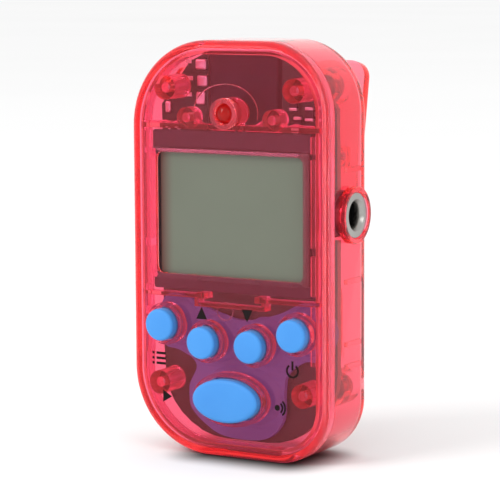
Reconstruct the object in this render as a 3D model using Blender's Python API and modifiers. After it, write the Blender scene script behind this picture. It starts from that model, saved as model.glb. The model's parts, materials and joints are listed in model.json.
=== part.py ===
"""A pocket digital metronome with a spring clip: a two-part translucent case with everything inside it.

Metres, +Z up. X = 0 is the centre plane, Y = 0 is the middle of the case's depth and Z = 0 is the
flat bottom that it stands on. The display and the buttons face -Y, the headphone socket faces +X and
the clip is behind, at +Y. Outlines are lists of (x, z) points, because nearly everything is stacked
in layers from front to back.
"""

import math

import bmesh
import bpy
from mathutils import Matrix, Vector

MM = 0.001
GAP = 0.3 * MM  # between pieces that touch on the real object

# Case
CASE_WIDTH = 32.3 * MM
CASE_HEIGHT = 60 * MM
CASE_DEPTH = 13 * MM
CORNER_RADII = (8.4 * MM, 10.2 * MM, 12.4 * MM, 12.4 * MM)  # anticlockwise from the lower right
WALL = 1.2 * MM
FRONT_COVER_DEPTH = 2.4 * MM
FRONT_EDGE_ROUND = 1.3 * MM
REAR_EDGE_ROUND = 1.9 * MM

HALF_WIDTH = CASE_WIDTH / 2
FRONT_Y = -CASE_DEPTH / 2
REAR_Y = CASE_DEPTH / 2
PARTING_Y = FRONT_Y + FRONT_COVER_DEPTH
FRONT_INNER_Y = FRONT_Y + WALL
REAR_INNER_Y = REAR_Y - WALL
SINK = 0.5 * MM  # how far a boss or rib runs into the wall it stands on

# The lip of the front cover, which fits inside the rear cover
LIP_OUTER = HALF_WIDTH - WALL - GAP
LIP_THICKNESS = 0.8 * MM
LIP_END_Y = PARTING_Y + 1.0 * MM

# Display
WINDOW_HALF_WIDTH = 11.95 * MM
WINDOW_LOW, WINDOW_HIGH = 26.2 * MM, 43.85 * MM
WINDOW_CORNER = 1.0 * MM
WINDOW_CHAMFER = 0.6 * MM
GLASS_HALF_WIDTH = 13.2 * MM
GLASS_LOW, GLASS_HIGH = 23.9 * MM, 47.0 * MM
GLASS_FRONT_Y, GLASS_BACK_Y = -4.5 * MM, -2.7 * MM
FILM = 0.2 * MM

# Circuit board
BOARD_FRONT_Y, BOARD_BACK_Y = -0.6 * MM, 0.4 * MM
BOARD_HALF_WIDTH = 14.1 * MM
BOARD_LOW, BOARD_HIGH = 1.8 * MM, 58.0 * MM
BOARD_CORNER = 10.6 * MM
NOTCH_GAP = 0.4 * MM  # round the sounder and the headphone socket
BOARD_MOUNT_FRONT = BOARD_FRONT_Y - GAP
BOARD_MOUNT_BACK = BOARD_BACK_Y + GAP

# Keypad: (name, x, z) of the round buttons
BUTTONS = (
    ("select", -10.95 * MM, 18.75 * MM),
    ("up", -3.95 * MM, 16.6 * MM),
    ("down", 3.95 * MM, 16.6 * MM),
    ("power", 10.95 * MM, 18.75 * MM),
)
BUTTON_RADIUS = 2.35 * MM
BUTTON_ROUND = 0.5 * MM
BUTTON_TOP_Y = FRONT_Y - 1.2 * MM
BUTTON_BACK_Y = -2.6 * MM
TAP_Z = 8.45 * MM
TAP_HALF_WIDTH, TAP_HALF_HEIGHT = 5.4 * MM, 3.15 * MM
GUIDE_WALL = 0.5 * MM
GUIDE_END_Y = -4.2 * MM
PILL_RADIUS = 1.2 * MM
PILL_FRONT_Y, PILL_BACK_Y = BUTTON_BACK_Y + GAP, -1.8 * MM
SHEET_FRONT_Y = BOARD_MOUNT_FRONT - 0.8 * MM
SHEET_HOLE = BUTTON_RADIUS + 0.35 * MM

# Indicator lamp and sounder
LAMP_Z = 49.7 * MM
LAMP_RADIUS = 1.5 * MM
LAMP_FRONT_Y, LAMP_BACK_Y = FRONT_Y - 1.1 * MM, -2.5 * MM
COLLAR_RADIUS = 2.25 * MM
COLLAR_FRONT_Y, COLLAR_END_Y = FRONT_Y - 0.9 * MM, -3.4 * MM
LEAD_RADIUS = 0.25 * MM
BUZZER_HALF_WIDTH = 5.7 * MM
BUZZER_LOW, BUZZER_HIGH = 47.0 * MM, 58.2 * MM
BUZZER_FRONT_Y, BUZZER_BACK_Y = -1.2 * MM, 4.6 * MM

# Case screws, driven from behind: (x, z)
SCREWS = (
    (-10.6 * MM, 53.1 * MM),
    (10.6 * MM, 53.1 * MM),
    (-11.9 * MM, 10.0 * MM),
    (11.9 * MM, 10.0 * MM),
)
SCREW_RADIUS = 0.7 * MM
SCREW_HOLE = SCREW_RADIUS + GAP
SCREW_HEAD_RADIUS = 1.6 * MM
SCREW_HEAD_FRONT_Y, SCREW_HEAD_BACK_Y = 3.5 * MM, 4.7 * MM
SCREW_TIP_Y = -4.2 * MM
FRONT_BOSS_RADIUS = 1.75 * MM
REAR_BOSS_RADIUS = 2.6 * MM
PEGS = ((-7.1 * MM, 48.9 * MM), (7.1 * MM, 48.9 * MM))
PEG_RADIUS = 1.5 * MM

# Headphone socket, along X
JACK_Y, JACK_Z = 1.0 * MM, 35.4 * MM
JACK_BORE = 1.85 * MM
JACK_SHANK = 2.7 * MM
JACK_FLANGE = 3.15 * MM
JACK_BOSS = 4.1 * MM
JACK_BOSS_X = HALF_WIDTH + 1.15 * MM
JACK_FACE_X = JACK_BOSS_X - 0.5 * MM  # the sleeve's flange, sunk in the boss
JACK_FLANGE_X = JACK_FACE_X - 0.5 * MM
JACK_BODY_LOW = Vector((4.6 * MM, -1.8 * MM, 32.2 * MM))
JACK_BODY_HIGH = Vector((13.6 * MM, 3.8 * MM, 38.6 * MM))

# Battery: a 20 mm coin cell in a well of the rear cover
CELL_RADIUS = 10 * MM
CELL_Z = 19.5 * MM
CELL_FRONT_Y, CELL_BACK_Y = 1.5 * MM, 4.7 * MM
WELL_HALF_WIDTH = 10.9 * MM
WELL_LOW, WELL_HIGH = 7.8 * MM, 30.4 * MM
WELL_CORNER = 8 * MM
WELL_WALL = 0.8 * MM
HOOK_X = 2.2 * MM
HOOK_HALF_WIDTH = 1.2 * MM
HOOK_FRONT_Y, HOOK_BACK_Y = 4.3 * MM, 4.9 * MM
HOOK_REACH = 1.4 * MM  # below the door's lower edge, behind the wall

# Clip: the plate leans back from its pin, so its top stands clear of the case
CLIP_PIVOT = Vector((0, REAR_Y + 1.9 * MM, 43 * MM))
CLIP_LEAN = math.radians(10)
CLIP_FRAME = Matrix.Translation(CLIP_PIVOT) @ Matrix.Rotation(-CLIP_LEAN, 4, "X")
CLIP_HALF_WIDTH = 12.2 * MM
CLIP_UP, CLIP_DOWN = 14.2 * MM, 11.6 * MM
CLIP_INNER, CLIP_THICKNESS = 2.0 * MM, 1.6 * MM
CLIP_CORNER = 2.4 * MM
JAW_RADIUS = 2.0 * MM
PIN_RADIUS = 0.6 * MM
PIN_HOLE = PIN_RADIUS + GAP
EAR_X, EAR_THICKNESS, EAR_RADIUS = 10 * MM, 1.6 * MM, 1.5 * MM
LUG_X, LUG_THICKNESS, LUG_RADIUS = 7.5 * MM, 2 * MM, 1.6 * MM
COIL_RADIUS, SPRING_WIRE, COIL_TURNS = 1.25 * MM, 0.2 * MM, 6

ROUND_STEPS = 8  # segments in a quarter circle of the case's outline
FINE_SIDES, SIDES = 24, 16  # of round pieces that show, and of small or hidden ones

CLEAR_RED = ((0.93, 0.12, 0.16), 0.08, 0.0, 0.85)
BLUE_SILICONE = ((0.20, 0.50, 0.90), 0.55)
NICKEL = ((0.72, 0.71, 0.69), 0.25, 1.0)
STEEL = ((0.55, 0.55, 0.56), 0.3, 1.0)


# Scene and objects


def clear_scene():
    for obj in list(bpy.data.objects):
        bpy.data.objects.remove(obj, do_unlink=True)


def new_collection(name, parent=None):
    collection = bpy.data.collections.new(name)
    (parent or bpy.context.scene.collection).children.link(collection)
    return collection


def new_material(name, colour, roughness, metallic=0.0, transmission=0.0):
    material = bpy.data.materials.new(name)
    material.use_nodes = True
    shader = material.node_tree.nodes["Principled BSDF"]
    shader.inputs["Base Color"].default_value = (*colour, 1)
    shader.inputs["Roughness"].default_value = roughness
    shader.inputs["Metallic"].default_value = metallic
    shader.inputs["Transmission Weight"].default_value = transmission
    return material


def finish(obj, look, origin=None):
    """Makes a mesh a piece of the metronome, in a material of its own, with its origin on its axis."""
    PIECES.objects.link(obj)
    obj.data.materials.clear()
    obj.data.materials.append(new_material(obj.name, *look))
    obj.data.shade_smooth()
    obj.data.set_sharp_from_angle(angle=math.radians(35))
    if origin is not None:
        obj.data.transform(Matrix.Translation(-Vector(origin)))
        obj.location = origin
    return obj


def helpers(target, operation, objects):
    """Joins the objects to the target, or cuts them from it, with one Boolean."""
    collection = new_collection(f"{target.name}_{operation.lower()}", CUTTERS)
    for obj in objects:
        collection.objects.link(obj)
        obj.hide_render = True
        obj.display_type = "WIRE"
    modifier = target.modifiers.new(operation.title(), "BOOLEAN")
    modifier.operation = operation
    modifier.solver = "EXACT"
    modifier.operand_type = "COLLECTION"
    modifier.collection = collection


# Outlines, as (x, z) points anticlockwise


def rounded_outline(half_width, low, high, radii, steps=ROUND_STEPS):
    """A rounded rectangle. The radii are one, or four anticlockwise from the lower right."""
    radii = radii if isinstance(radii, tuple) else (radii,) * 4
    corners = ((1, low, 1, -90), (1, high, -1, 0), (-1, high, -1, 90), (-1, low, 1, 180))
    points = []
    for radius, (side, end, inward, first) in zip(radii, corners):
        x, z = side * (half_width - radius), end + inward * radius
        for step in range(steps + 1):
            angle = math.radians(first + 90 * step / steps)
            points.append((x + radius * math.cos(angle), z + radius * math.sin(angle)))
    return points


def case_outline(inset=0.0):
    radii = tuple(radius - inset for radius in CORNER_RADII)
    return rounded_outline(HALF_WIDTH - inset, inset, CASE_HEIGHT - inset, radii)


def oval_outline(x, z, half_width, half_height, sides=FINE_SIDES):
    turns = (2 * math.pi * step / sides for step in range(sides))
    return [(x + half_width * math.cos(a), z + half_height * math.sin(a)) for a in turns]


def circle_outline(x, z, radius, sides=SIDES):
    return oval_outline(x, z, radius, radius, sides)


def mirrored(points):
    """An outline from its right half, which runs anticlockwise from bottom to top."""
    return list(points) + [(-x, z) for x, z in reversed(points)]


# Solids


def mesh_object(name, bm):
    mesh = bpy.data.meshes.new(name)
    bm.to_mesh(mesh)
    bm.free()
    return bpy.data.objects.new(name, mesh)


def curve_to_mesh(curve_obj, name):
    """The curve's solid as a mesh with its caps welded, in the curve's place."""
    scene_objects = bpy.context.scene.collection.objects
    scene_objects.link(curve_obj)
    graph = bpy.context.evaluated_depsgraph_get()
    mesh = bpy.data.meshes.new_from_object(curve_obj.evaluated_get(graph))
    mesh.name = name
    bm = bmesh.new()
    bm.from_mesh(mesh)
    bmesh.ops.remove_doubles(bm, verts=bm.verts, dist=0.001 * MM)
    bmesh.ops.recalc_face_normals(bm, faces=bm.faces)
    bm.transform(curve_obj.matrix_world)
    bm.to_mesh(mesh)
    bm.free()
    bpy.data.objects.remove(curve_obj, do_unlink=True)
    return bpy.data.objects.new(name, mesh)


def slab(name, outlines, front, back):
    """A flat plate between two planes of constant Y. Outlines after the first are holes in it."""
    curve = bpy.data.curves.new(name, "CURVE")
    curve.dimensions = "2D"
    curve.fill_mode = "BOTH"
    curve.extrude = (back - front) / 2
    for outline in outlines:
        spline = curve.splines.new("POLY")
        spline.points.add(len(outline) - 1)
        for point, (x, z) in zip(spline.points, outline):
            point.co = (x, z, 0, 1)
        spline.use_cyclic_u = True
    guide = bpy.data.objects.new(name + "_outline", curve)
    middle = Matrix.Translation((0, (front + back) / 2, 0))
    guide.matrix_world = middle @ Matrix.Rotation(math.radians(90), 4, "X")
    return curve_to_mesh(guide, name)


def wire(name, points, radius):
    """A round wire along the points, with flat ends."""
    curve = bpy.data.curves.new(name, "CURVE")
    curve.dimensions = "3D"
    curve.bevel_depth = radius
    curve.bevel_resolution = 1
    curve.use_fill_caps = True
    spline = curve.splines.new("POLY")
    spline.points.add(len(points) - 1)
    for point, place in zip(spline.points, points):
        point.co = (*place, 1)
    return curve_to_mesh(bpy.data.objects.new(name + "_path", curve), name)


def box(name, low, high):
    bm = bmesh.new()
    low, high = Vector(low), Vector(high)
    place = Matrix.Translation((low + high) / 2) @ Matrix.Diagonal((*(high - low), 1))
    bmesh.ops.create_cube(bm, size=1, matrix=place)
    return mesh_object(name, bm)


def rod(name, radius, start, end, sides=SIDES):
    """A cylinder from one point to another."""
    start, end = Vector(start), Vector(end)
    along = end - start
    place = Matrix.Translation((start + end) / 2) @ along.to_track_quat("Z", "Y").to_matrix().to_4x4()
    bm = bmesh.new()
    bmesh.ops.create_cone(
        bm,
        cap_ends=True,
        segments=sides,
        radius1=radius,
        radius2=radius,
        depth=along.length,
        matrix=place,
    )
    return mesh_object(name, bm)


def post(name, x, z, radius, front, back, sides=SIDES):
    """A cylinder that runs from front to back."""
    return rod(name, radius, (x, front, z), (x, back, z), sides)


def turned(name, profile, place, sides=FINE_SIDES, closed=False):
    """A Screw of (radius, height) points, top to bottom down the outer side, round its own Z axis."""
    bm = bmesh.new()
    verts = [bm.verts.new((radius, 0, height)) for radius, height in profile]
    for first, second in zip(verts, verts[1:]):
        bm.edges.new((first, second))
    if closed:
        bm.edges.new((verts[-1], verts[0]))
    obj = mesh_object(name, bm)
    obj.matrix_world = place
    screw = obj.modifiers.new("Turn", "SCREW")
    screw.steps = sides
    screw.render_steps = sides
    screw.use_merge_vertices = True
    screw.merge_threshold = 0.001 * MM
    return obj


def facing(direction, point):
    """The frame whose +Z points along the direction, at the point."""
    turn = Vector(direction).to_track_quat("Z", "Y").to_matrix().to_4x4()
    return Matrix.Translation(point) @ turn


def rounded_rim(radius, top, bottom, rounding, steps=3):
    """The profile of a disc from the axis over a rounded upper edge and down to the axis again."""
    arc = [math.radians(90 - 90 * step / steps) for step in range(steps + 1)]
    points = [(0, top)]
    points += [
        (radius - rounding + rounding * math.cos(a), top - rounding + rounding * math.sin(a))
        for a in arc
    ]
    return points + [(radius, bottom), (0, bottom)]


def tray(name, face_y, open_y, edge_round):
    """A shell of the case's outline: a face with rounded edges and side walls, open at open_y."""
    bm = bmesh.new()
    verts = [bm.verts.new((x, face_y, z)) for x, z in case_outline()]
    face = bm.faces.new(verts)
    walls = bmesh.ops.extrude_edge_only(bm, edges=face.edges[:])
    rim = [item for item in walls["geom"] if isinstance(item, bmesh.types.BMVert)]
    bmesh.ops.translate(bm, verts=rim, vec=(0, open_y - face_y, 0))
    bmesh.ops.recalc_face_normals(bm, faces=bm.faces)
    if face.normal.y * face_y < 0:
        bmesh.ops.reverse_faces(bm, faces=bm.faces)
    obj = mesh_object(name, bm)
    bevel = obj.modifiers.new("Edge", "BEVEL")
    bevel.limit_method = "ANGLE"
    bevel.angle_limit = math.radians(60)
    bevel.width = edge_round
    bevel.segments = 3
    solid = obj.modifiers.new("Wall", "SOLIDIFY")
    solid.thickness = WALL
    solid.offset = -1
    solid.use_even_offset = True
    return obj


def chamfered_hole(name, outline, centre, front, flare):
    """A cutter for a hole that flares at 45 degrees towards the front, by the flare all round."""
    bm = bmesh.new()
    verts = [bm.verts.new((x, front + flare, z)) for x, z in outline]
    face = bm.faces.new(verts)
    grown = bmesh.ops.extrude_face_region(bm, geom=[face])
    middle = Vector((centre[0], 0, centre[1]))
    size = Vector((max(x for x, _ in outline) - centre[0], 0, max(z for _, z in outline) - centre[1]))
    for vert in (item for item in grown["geom"] if isinstance(item, bmesh.types.BMVert)):
        out = vert.co - middle
        vert.co.x = middle.x + out.x * (1 + flare / size.x)
        vert.co.z = middle.z + out.z * (1 + flare / size.z)
        vert.co.y = front
    bmesh.ops.recalc_face_normals(bm, faces=bm.faces)
    return mesh_object(name, bm)


# The case


def front_cover():
    cover = tray("front_cover", FRONT_Y, PARTING_Y, FRONT_EDGE_ROUND)
    inset = HALF_WIDTH - LIP_OUTER
    lip = slab(
        "lip",
        [case_outline(inset), case_outline(inset + LIP_THICKNESS)],
        FRONT_INNER_Y - SINK,
        LIP_END_Y,
    )
    web = slab(
        "lip_web",
        [case_outline(WALL - SINK), case_outline(inset + LIP_THICKNESS / 2)],
        FRONT_INNER_Y - SINK,
        PARTING_Y - 0.4 * MM,
    )
    joined = [lip, web]
    root = FRONT_INNER_Y - SINK
    for x, z in SCREWS:
        joined.append(post("boss", x, z, FRONT_BOSS_RADIUS, root, BOARD_MOUNT_FRONT))
    for x, z in PEGS:
        joined.append(post("peg", x, z, PEG_RADIUS, root, -3.0 * MM))
    joined.append(post("collar", 0, LAMP_Z, COLLAR_RADIUS, COLLAR_FRONT_Y, COLLAR_END_Y, FINE_SIDES))
    ring = BUTTON_RADIUS + GAP + GUIDE_WALL
    for name, x, z in BUTTONS:
        joined.append(post(f"guide_{name}", x, z, ring, root, GUIDE_END_Y))
    grow = GAP + GUIDE_WALL
    tap_ring = oval_outline(0, TAP_Z, TAP_HALF_WIDTH + grow, TAP_HALF_HEIGHT + grow)
    joined.append(slab("guide_tap", [tap_ring], root, GUIDE_END_Y))
    rib = 0.7 * MM
    reach = HALF_WIDTH - WALL - 0.5 * MM
    for z in (GLASS_LOW - GAP - rib, GLASS_HIGH + GAP):
        joined.append(box("glass_rib", (-reach, root, z), (reach, GLASS_BACK_Y - 0.8 * MM, z + rib)))
    helpers(cover, "UNION", joined)

    window = rounded_outline(WINDOW_HALF_WIDTH, WINDOW_LOW, WINDOW_HIGH, WINDOW_CORNER, 3)
    middle = (0, (WINDOW_LOW + WINDOW_HIGH) / 2)
    out = FRONT_Y - 1 * MM
    flare = WINDOW_CHAMFER + 0.4 * MM
    cuts = [
        slab("window", [window], out, FRONT_INNER_Y + 1 * MM),
        chamfered_hole("window_chamfer", window, middle, FRONT_Y + WINDOW_CHAMFER - flare, flare),
    ]
    for name, x, z in BUTTONS:
        cuts.append(post(f"hole_{name}", x, z, BUTTON_RADIUS + GAP, out, GUIDE_END_Y + 1 * MM))
    tap_hole = oval_outline(0, TAP_Z, TAP_HALF_WIDTH + GAP, TAP_HALF_HEIGHT + GAP)
    cuts.append(slab("hole_tap", [tap_hole], out, GUIDE_END_Y + 1 * MM))
    lamp_hole = LAMP_RADIUS + GAP
    lamp_start = COLLAR_FRONT_Y - 1 * MM
    cuts.append(post("hole_lamp", 0, LAMP_Z, lamp_hole, lamp_start, COLLAR_END_Y + 1 * MM, FINE_SIDES))
    for x, z in SCREWS:
        cuts.append(post("pilot", x, z, SCREW_HOLE, SCREW_TIP_Y - 0.6 * MM, 0))
    helpers(cover, "DIFFERENCE", cuts)
    finish(cover, CLEAR_RED)


def rear_cover():
    cover = tray("rear_cover", REAR_Y, PARTING_Y + GAP, REAR_EDGE_ROUND)
    root = REAR_INNER_Y + SINK
    well = rounded_outline(WELL_HALF_WIDTH, WELL_LOW, WELL_HIGH, WELL_CORNER)
    well_outer = rounded_outline(
        WELL_HALF_WIDTH + WELL_WALL,
        WELL_LOW - WELL_WALL,
        WELL_HIGH + WELL_WALL,
        WELL_CORNER + WELL_WALL,
    )
    joined = [slab("well", [well_outer], 1.1 * MM, root)]
    for x, z in SCREWS:
        joined.append(post("boss", x, z, REAR_BOSS_RADIUS, BOARD_MOUNT_BACK, root))
    joined.append(
        rod(
            "jack_boss",
            JACK_BOSS,
            (HALF_WIDTH - WALL + SINK, JACK_Y, JACK_Z),
            (JACK_BOSS_X, JACK_Y, JACK_Z),
            FINE_SIDES,
        )
    )
    for side in (-1, 1):
        x = side * LUG_X
        ends = (x - LUG_THICKNESS / 2, x + LUG_THICKNESS / 2)
        pivot_y, pivot_z = CLIP_PIVOT.y, CLIP_PIVOT.z
        joined.append(rod("lug", LUG_RADIUS, (ends[0], pivot_y, pivot_z), (ends[1], pivot_y, pivot_z)))
        low = (ends[0], REAR_Y - SINK, pivot_z - LUG_RADIUS)
        joined.append(box("lug_foot", low, (ends[1], pivot_y, pivot_z + LUG_RADIUS)))
    helpers(cover, "UNION", joined)

    out = REAR_Y + 1 * MM
    cuts = [slab("well_hole", [well], 0.5 * MM, out)]
    for x, z in SCREWS:
        cuts.append(post("screw_hole", x, z, SCREW_HOLE, 0, out))
        seat = SCREW_HEAD_FRONT_Y - GAP
        cuts.append(post("counterbore", x, z, SCREW_HEAD_RADIUS + GAP, seat, out))
    through = (HALF_WIDTH - WALL - 1 * MM, JACK_BOSS_X + 1 * MM)
    cuts.append(
        rod(
            "jack_hole",
            JACK_SHANK + GAP,
            (through[0], JACK_Y, JACK_Z),
            (through[1], JACK_Y, JACK_Z),
            FINE_SIDES,
        )
    )
    seat = (JACK_FLANGE_X - GAP, JACK_Y, JACK_Z)
    cuts.append(rod("jack_seat", JACK_FLANGE + GAP, seat, (through[1], JACK_Y, JACK_Z), FINE_SIDES))
    reach = LUG_X + LUG_THICKNESS
    cuts.append(rod("pin_hole", PIN_HOLE, (-reach, *CLIP_PIVOT.yz), (reach, *CLIP_PIVOT.yz), 12))
    for side in (-1, 1):
        x = side * HOOK_X
        half = HOOK_HALF_WIDTH + GAP
        low = (x - half, HOOK_FRONT_Y - 1.2 * MM, WELL_LOW - 2 * MM)
        high = (x + half, HOOK_BACK_Y + GAP, WELL_LOW + 3 * MM)
        cuts.append(box("hook_slot", low, high))
    for column in (-1, 0, 1):
        slot = rounded_outline(0.5 * MM, 50 * MM, 55 * MM, 0.49 * MM, 3)
        x = column * 2.2 * MM
        slot = [(x + px, pz) for px, pz in slot]
        cuts.append(slab("sound_slot", [slot], REAR_INNER_Y - 0.5 * MM, out))
    helpers(cover, "DIFFERENCE", cuts)
    finish(cover, CLEAR_RED)


def battery_door():
    """A snap door that swings on two hooks under the lower edge of its opening."""
    outline = rounded_outline(
        WELL_HALF_WIDTH - GAP, WELL_LOW + GAP, WELL_HIGH - GAP, WELL_CORNER - GAP
    )
    door = slab("battery_door", [outline], REAR_INNER_Y, REAR_Y)
    joined = []
    edge = WELL_LOW + GAP
    for side in (-1, 1):
        left, right = side * HOOK_X - HOOK_HALF_WIDTH, side * HOOK_X + HOOK_HALF_WIDTH
        stem_low, stem_high = edge + 0.1 * MM, edge + 0.8 * MM
        stem = box("hook_stem", (left, HOOK_FRONT_Y, stem_low), (right, REAR_INNER_Y + SINK, stem_high))
        tab_low = (left, HOOK_FRONT_Y, edge - HOOK_REACH)
        joined += [stem, box("hook", tab_low, (right, HOOK_BACK_Y, stem_high - 0.05 * MM))]
    helpers(door, "UNION", joined)
    notch = oval_outline(0, WELL_HIGH, 3 * MM, 1.6 * MM, 16)
    helpers(door, "DIFFERENCE", [slab("thumb_notch", [notch], REAR_Y - 0.6 * MM, REAR_Y + 1 * MM)])
    finish(door, CLEAR_RED, origin=(0, REAR_Y, WELL_LOW + GAP / 2))


def case_screws():
    for index, (x, z) in enumerate(SCREWS, start=1):
        head = SCREW_HEAD_BACK_Y
        profile = [
            (0, 0),
            (SCREW_HEAD_RADIUS * 0.8, 0),
            (SCREW_HEAD_RADIUS, SCREW_HEAD_FRONT_Y + 0.6 * MM - head),
            (SCREW_HEAD_RADIUS, SCREW_HEAD_FRONT_Y - head),
            (SCREW_RADIUS, SCREW_HEAD_FRONT_Y - head),
            (SCREW_RADIUS, SCREW_TIP_Y + 0.8 * MM - head),
            (0, SCREW_TIP_Y - head),
        ]
        screw = turned(f"case_screw_{index}", profile, facing((0, 1, 0), (x, head, z)), 12)
        slot_long, slot_wide, slot_deep = 1.0 * MM, 0.22 * MM, 0.5 * MM
        cross = []
        for wide, tall in ((slot_long, slot_wide), (slot_wide, slot_long)):
            low = (x - wide, head - slot_deep, z - tall)
            cross.append(box("cross", low, (x + wide, head + slot_deep, z + tall)))
        helpers(screw, "DIFFERENCE", cross)
        finish(screw, STEEL)


# The display


def display():
    corner, overlap = 0.25 * MM, 0.6 * MM
    film_ends = (WINDOW_LOW - overlap, WINDOW_HIGH + overlap)
    film = rounded_outline(GLASS_HALF_WIDTH - 0.3 * MM, *film_ends, corner, 1)
    front = slab("lcd_polarizer", [film], GLASS_FRONT_Y - GAP - FILM, GLASS_FRONT_Y - GAP)
    finish(front, ((0.36, 0.40, 0.36), 0.3))
    glass_outline = rounded_outline(GLASS_HALF_WIDTH, GLASS_LOW, GLASS_HIGH, corner, 1)
    glass = slab("lcd_glass", [glass_outline], GLASS_FRONT_Y, GLASS_BACK_Y)
    finish(glass, ((0.75, 0.80, 0.76), 0.05, 0.0, 0.9))
    back_low, back_high = WINDOW_LOW + 0.1 * MM, GLASS_HIGH - 2 * MM  # clear of the zebra strip
    back_outline = rounded_outline(GLASS_HALF_WIDTH, back_low, back_high, corner, 1)
    back = slab("lcd_reflector", [back_outline], GLASS_BACK_Y + GAP, GLASS_BACK_Y + GAP + FILM)
    finish(back, ((0.45, 0.50, 0.44), 0.4))
    low = (-12 * MM, GLASS_BACK_Y + GAP, GLASS_LOW)
    strip = box("zebra_strip", low, (12 * MM, BOARD_MOUNT_FRONT, GLASS_LOW + 2 * MM))
    finish(strip, ((0.75, 0.45, 0.55), 0.6))


# The circuit board and what is soldered to it


def circuit_board():
    corner_x, corner_z = BOARD_HALF_WIDTH - BOARD_CORNER, BOARD_LOW + BOARD_CORNER
    lower = []
    for step in range(ROUND_STEPS + 1):
        angle = math.radians(-90 + 90 * step / ROUND_STEPS)
        lower.append((corner_x + BOARD_CORNER * math.cos(angle), corner_z + BOARD_CORNER * math.sin(angle)))
    notch_x = BUZZER_HALF_WIDTH + NOTCH_GAP
    shoulder = [
        (BOARD_HALF_WIDTH - 0.1 * MM, 50.4 * MM),
        (9.2 * MM, 56.6 * MM),
        (notch_x, BOARD_HIGH),
        (notch_x, BUZZER_LOW - NOTCH_GAP),
    ]
    jack_x = JACK_BODY_LOW.x - NOTCH_GAP
    jack_low, jack_high = JACK_BODY_LOW.z - NOTCH_GAP, JACK_BODY_HIGH.z + NOTCH_GAP
    jack_notch = [
        (BOARD_HALF_WIDTH, jack_low),
        (jack_x, jack_low),
        (jack_x, jack_high),
        (BOARD_HALF_WIDTH, jack_high),
    ]
    left = [(-x, z) for x, z in reversed(lower + shoulder)]
    outline = lower + jack_notch + shoulder + left
    holes = [circle_outline(x, z, SCREW_HOLE, 12) for x, z in SCREWS]
    board = slab("circuit_board", [outline] + holes, BOARD_FRONT_Y, BOARD_BACK_Y)
    finish(board, ((0.03, 0.22, 0.09), 0.4))


def components():
    blob = [
        (4.0 * MM * math.cos(a), 1.0 * MM * math.sin(a))
        for a in (math.radians(90 - 90 * step / 5) for step in range(6))
    ]
    place = facing((0, -1, 0), (-2 * MM, BOARD_MOUNT_FRONT, 36.5 * MM))
    chip = turned("controller_chip", blob + [(0, 0)], place, SIDES)
    finish(chip, ((0.02, 0.02, 0.02), 0.35))

    crystal_y = BOARD_MOUNT_BACK + 1.0 * MM
    crystal = rod("clock_crystal", 1.0 * MM, (-9 * MM, crystal_y, 38 * MM), (-9 * MM, crystal_y, 44 * MM))
    finish(crystal, NICKEL)

    chips = (
        ("resistor_1", 8.3 * MM, 51.0 * MM, 1.25 * MM, 2.0 * MM, 0.5 * MM),
        ("resistor_2", 10.8 * MM, 49.6 * MM, 1.25 * MM, 2.0 * MM, 0.5 * MM),
        ("resistor_3", 9.0 * MM, 48.2 * MM, 1.25 * MM, 2.0 * MM, 0.5 * MM),
        ("resistor_4", -11.6 * MM, 46.6 * MM, 2.0 * MM, 1.25 * MM, 0.5 * MM),
        ("capacitor_1", -8.6 * MM, 44.0 * MM, 2.0 * MM, 1.25 * MM, 0.9 * MM),
        ("capacitor_2", 9.6 * MM, 44.6 * MM, 1.25 * MM, 2.0 * MM, 0.9 * MM),
    )
    for name, x, z, wide, tall, high in chips:
        low = (x - wide / 2, BOARD_MOUNT_FRONT - high, z - tall / 2)
        chip = box(name, low, (x + wide / 2, BOARD_MOUNT_FRONT, z + tall / 2))
        colour = (0.03, 0.03, 0.03) if name.startswith("resistor") else (0.45, 0.32, 0.18)
        finish(chip, (colour, 0.4))


def buzzer():
    outline = rounded_outline(BUZZER_HALF_WIDTH, BUZZER_LOW, BUZZER_HIGH, 0.6 * MM, 2)
    body = slab("buzzer", [outline], BUZZER_FRONT_Y, BUZZER_BACK_Y)
    middle_z = (BUZZER_LOW + BUZZER_HIGH) / 2
    port = post("port", 0, middle_z, 1.2 * MM, BUZZER_BACK_Y - 1.5 * MM, BUZZER_BACK_Y + 1 * MM)
    helpers(body, "DIFFERENCE", [port])
    finish(body, ((0.03, 0.02, 0.02), 0.45))


def indicator_lamp():
    dome = LAMP_RADIUS
    profile = [
        (dome * math.cos(a), dome * math.sin(a) - dome)
        for a in (math.radians(90 - 90 * step / 5) for step in range(6))
    ]
    depth = LAMP_BACK_Y - LAMP_FRONT_Y
    flange = 1.9 * MM
    profile += [
        (dome, 0.6 * MM - depth),
        (flange, 0.6 * MM - depth),
        (flange, -depth),
        (0, -depth),
    ]
    lamp = turned("led_body", profile, facing((0, -1, 0), (0, LAMP_FRONT_Y, LAMP_Z)), SIDES)
    finish(lamp, ((0.75, 0.02, 0.02), 0.15, 0.0, 0.5))
    for name, x in (("led_lead_left", -0.64 * MM), ("led_lead_right", 0.64 * MM)):
        bend_y = -1.85 * MM
        path = [
            (x, LAMP_BACK_Y + GAP, LAMP_Z),
            (x, bend_y, LAMP_Z - 0.5 * MM),
            (x, bend_y, 46.2 * MM),
            (x, BOARD_MOUNT_FRONT, 45.6 * MM),
        ]
        finish(wire(name, path, LEAD_RADIUS), NICKEL)


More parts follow.
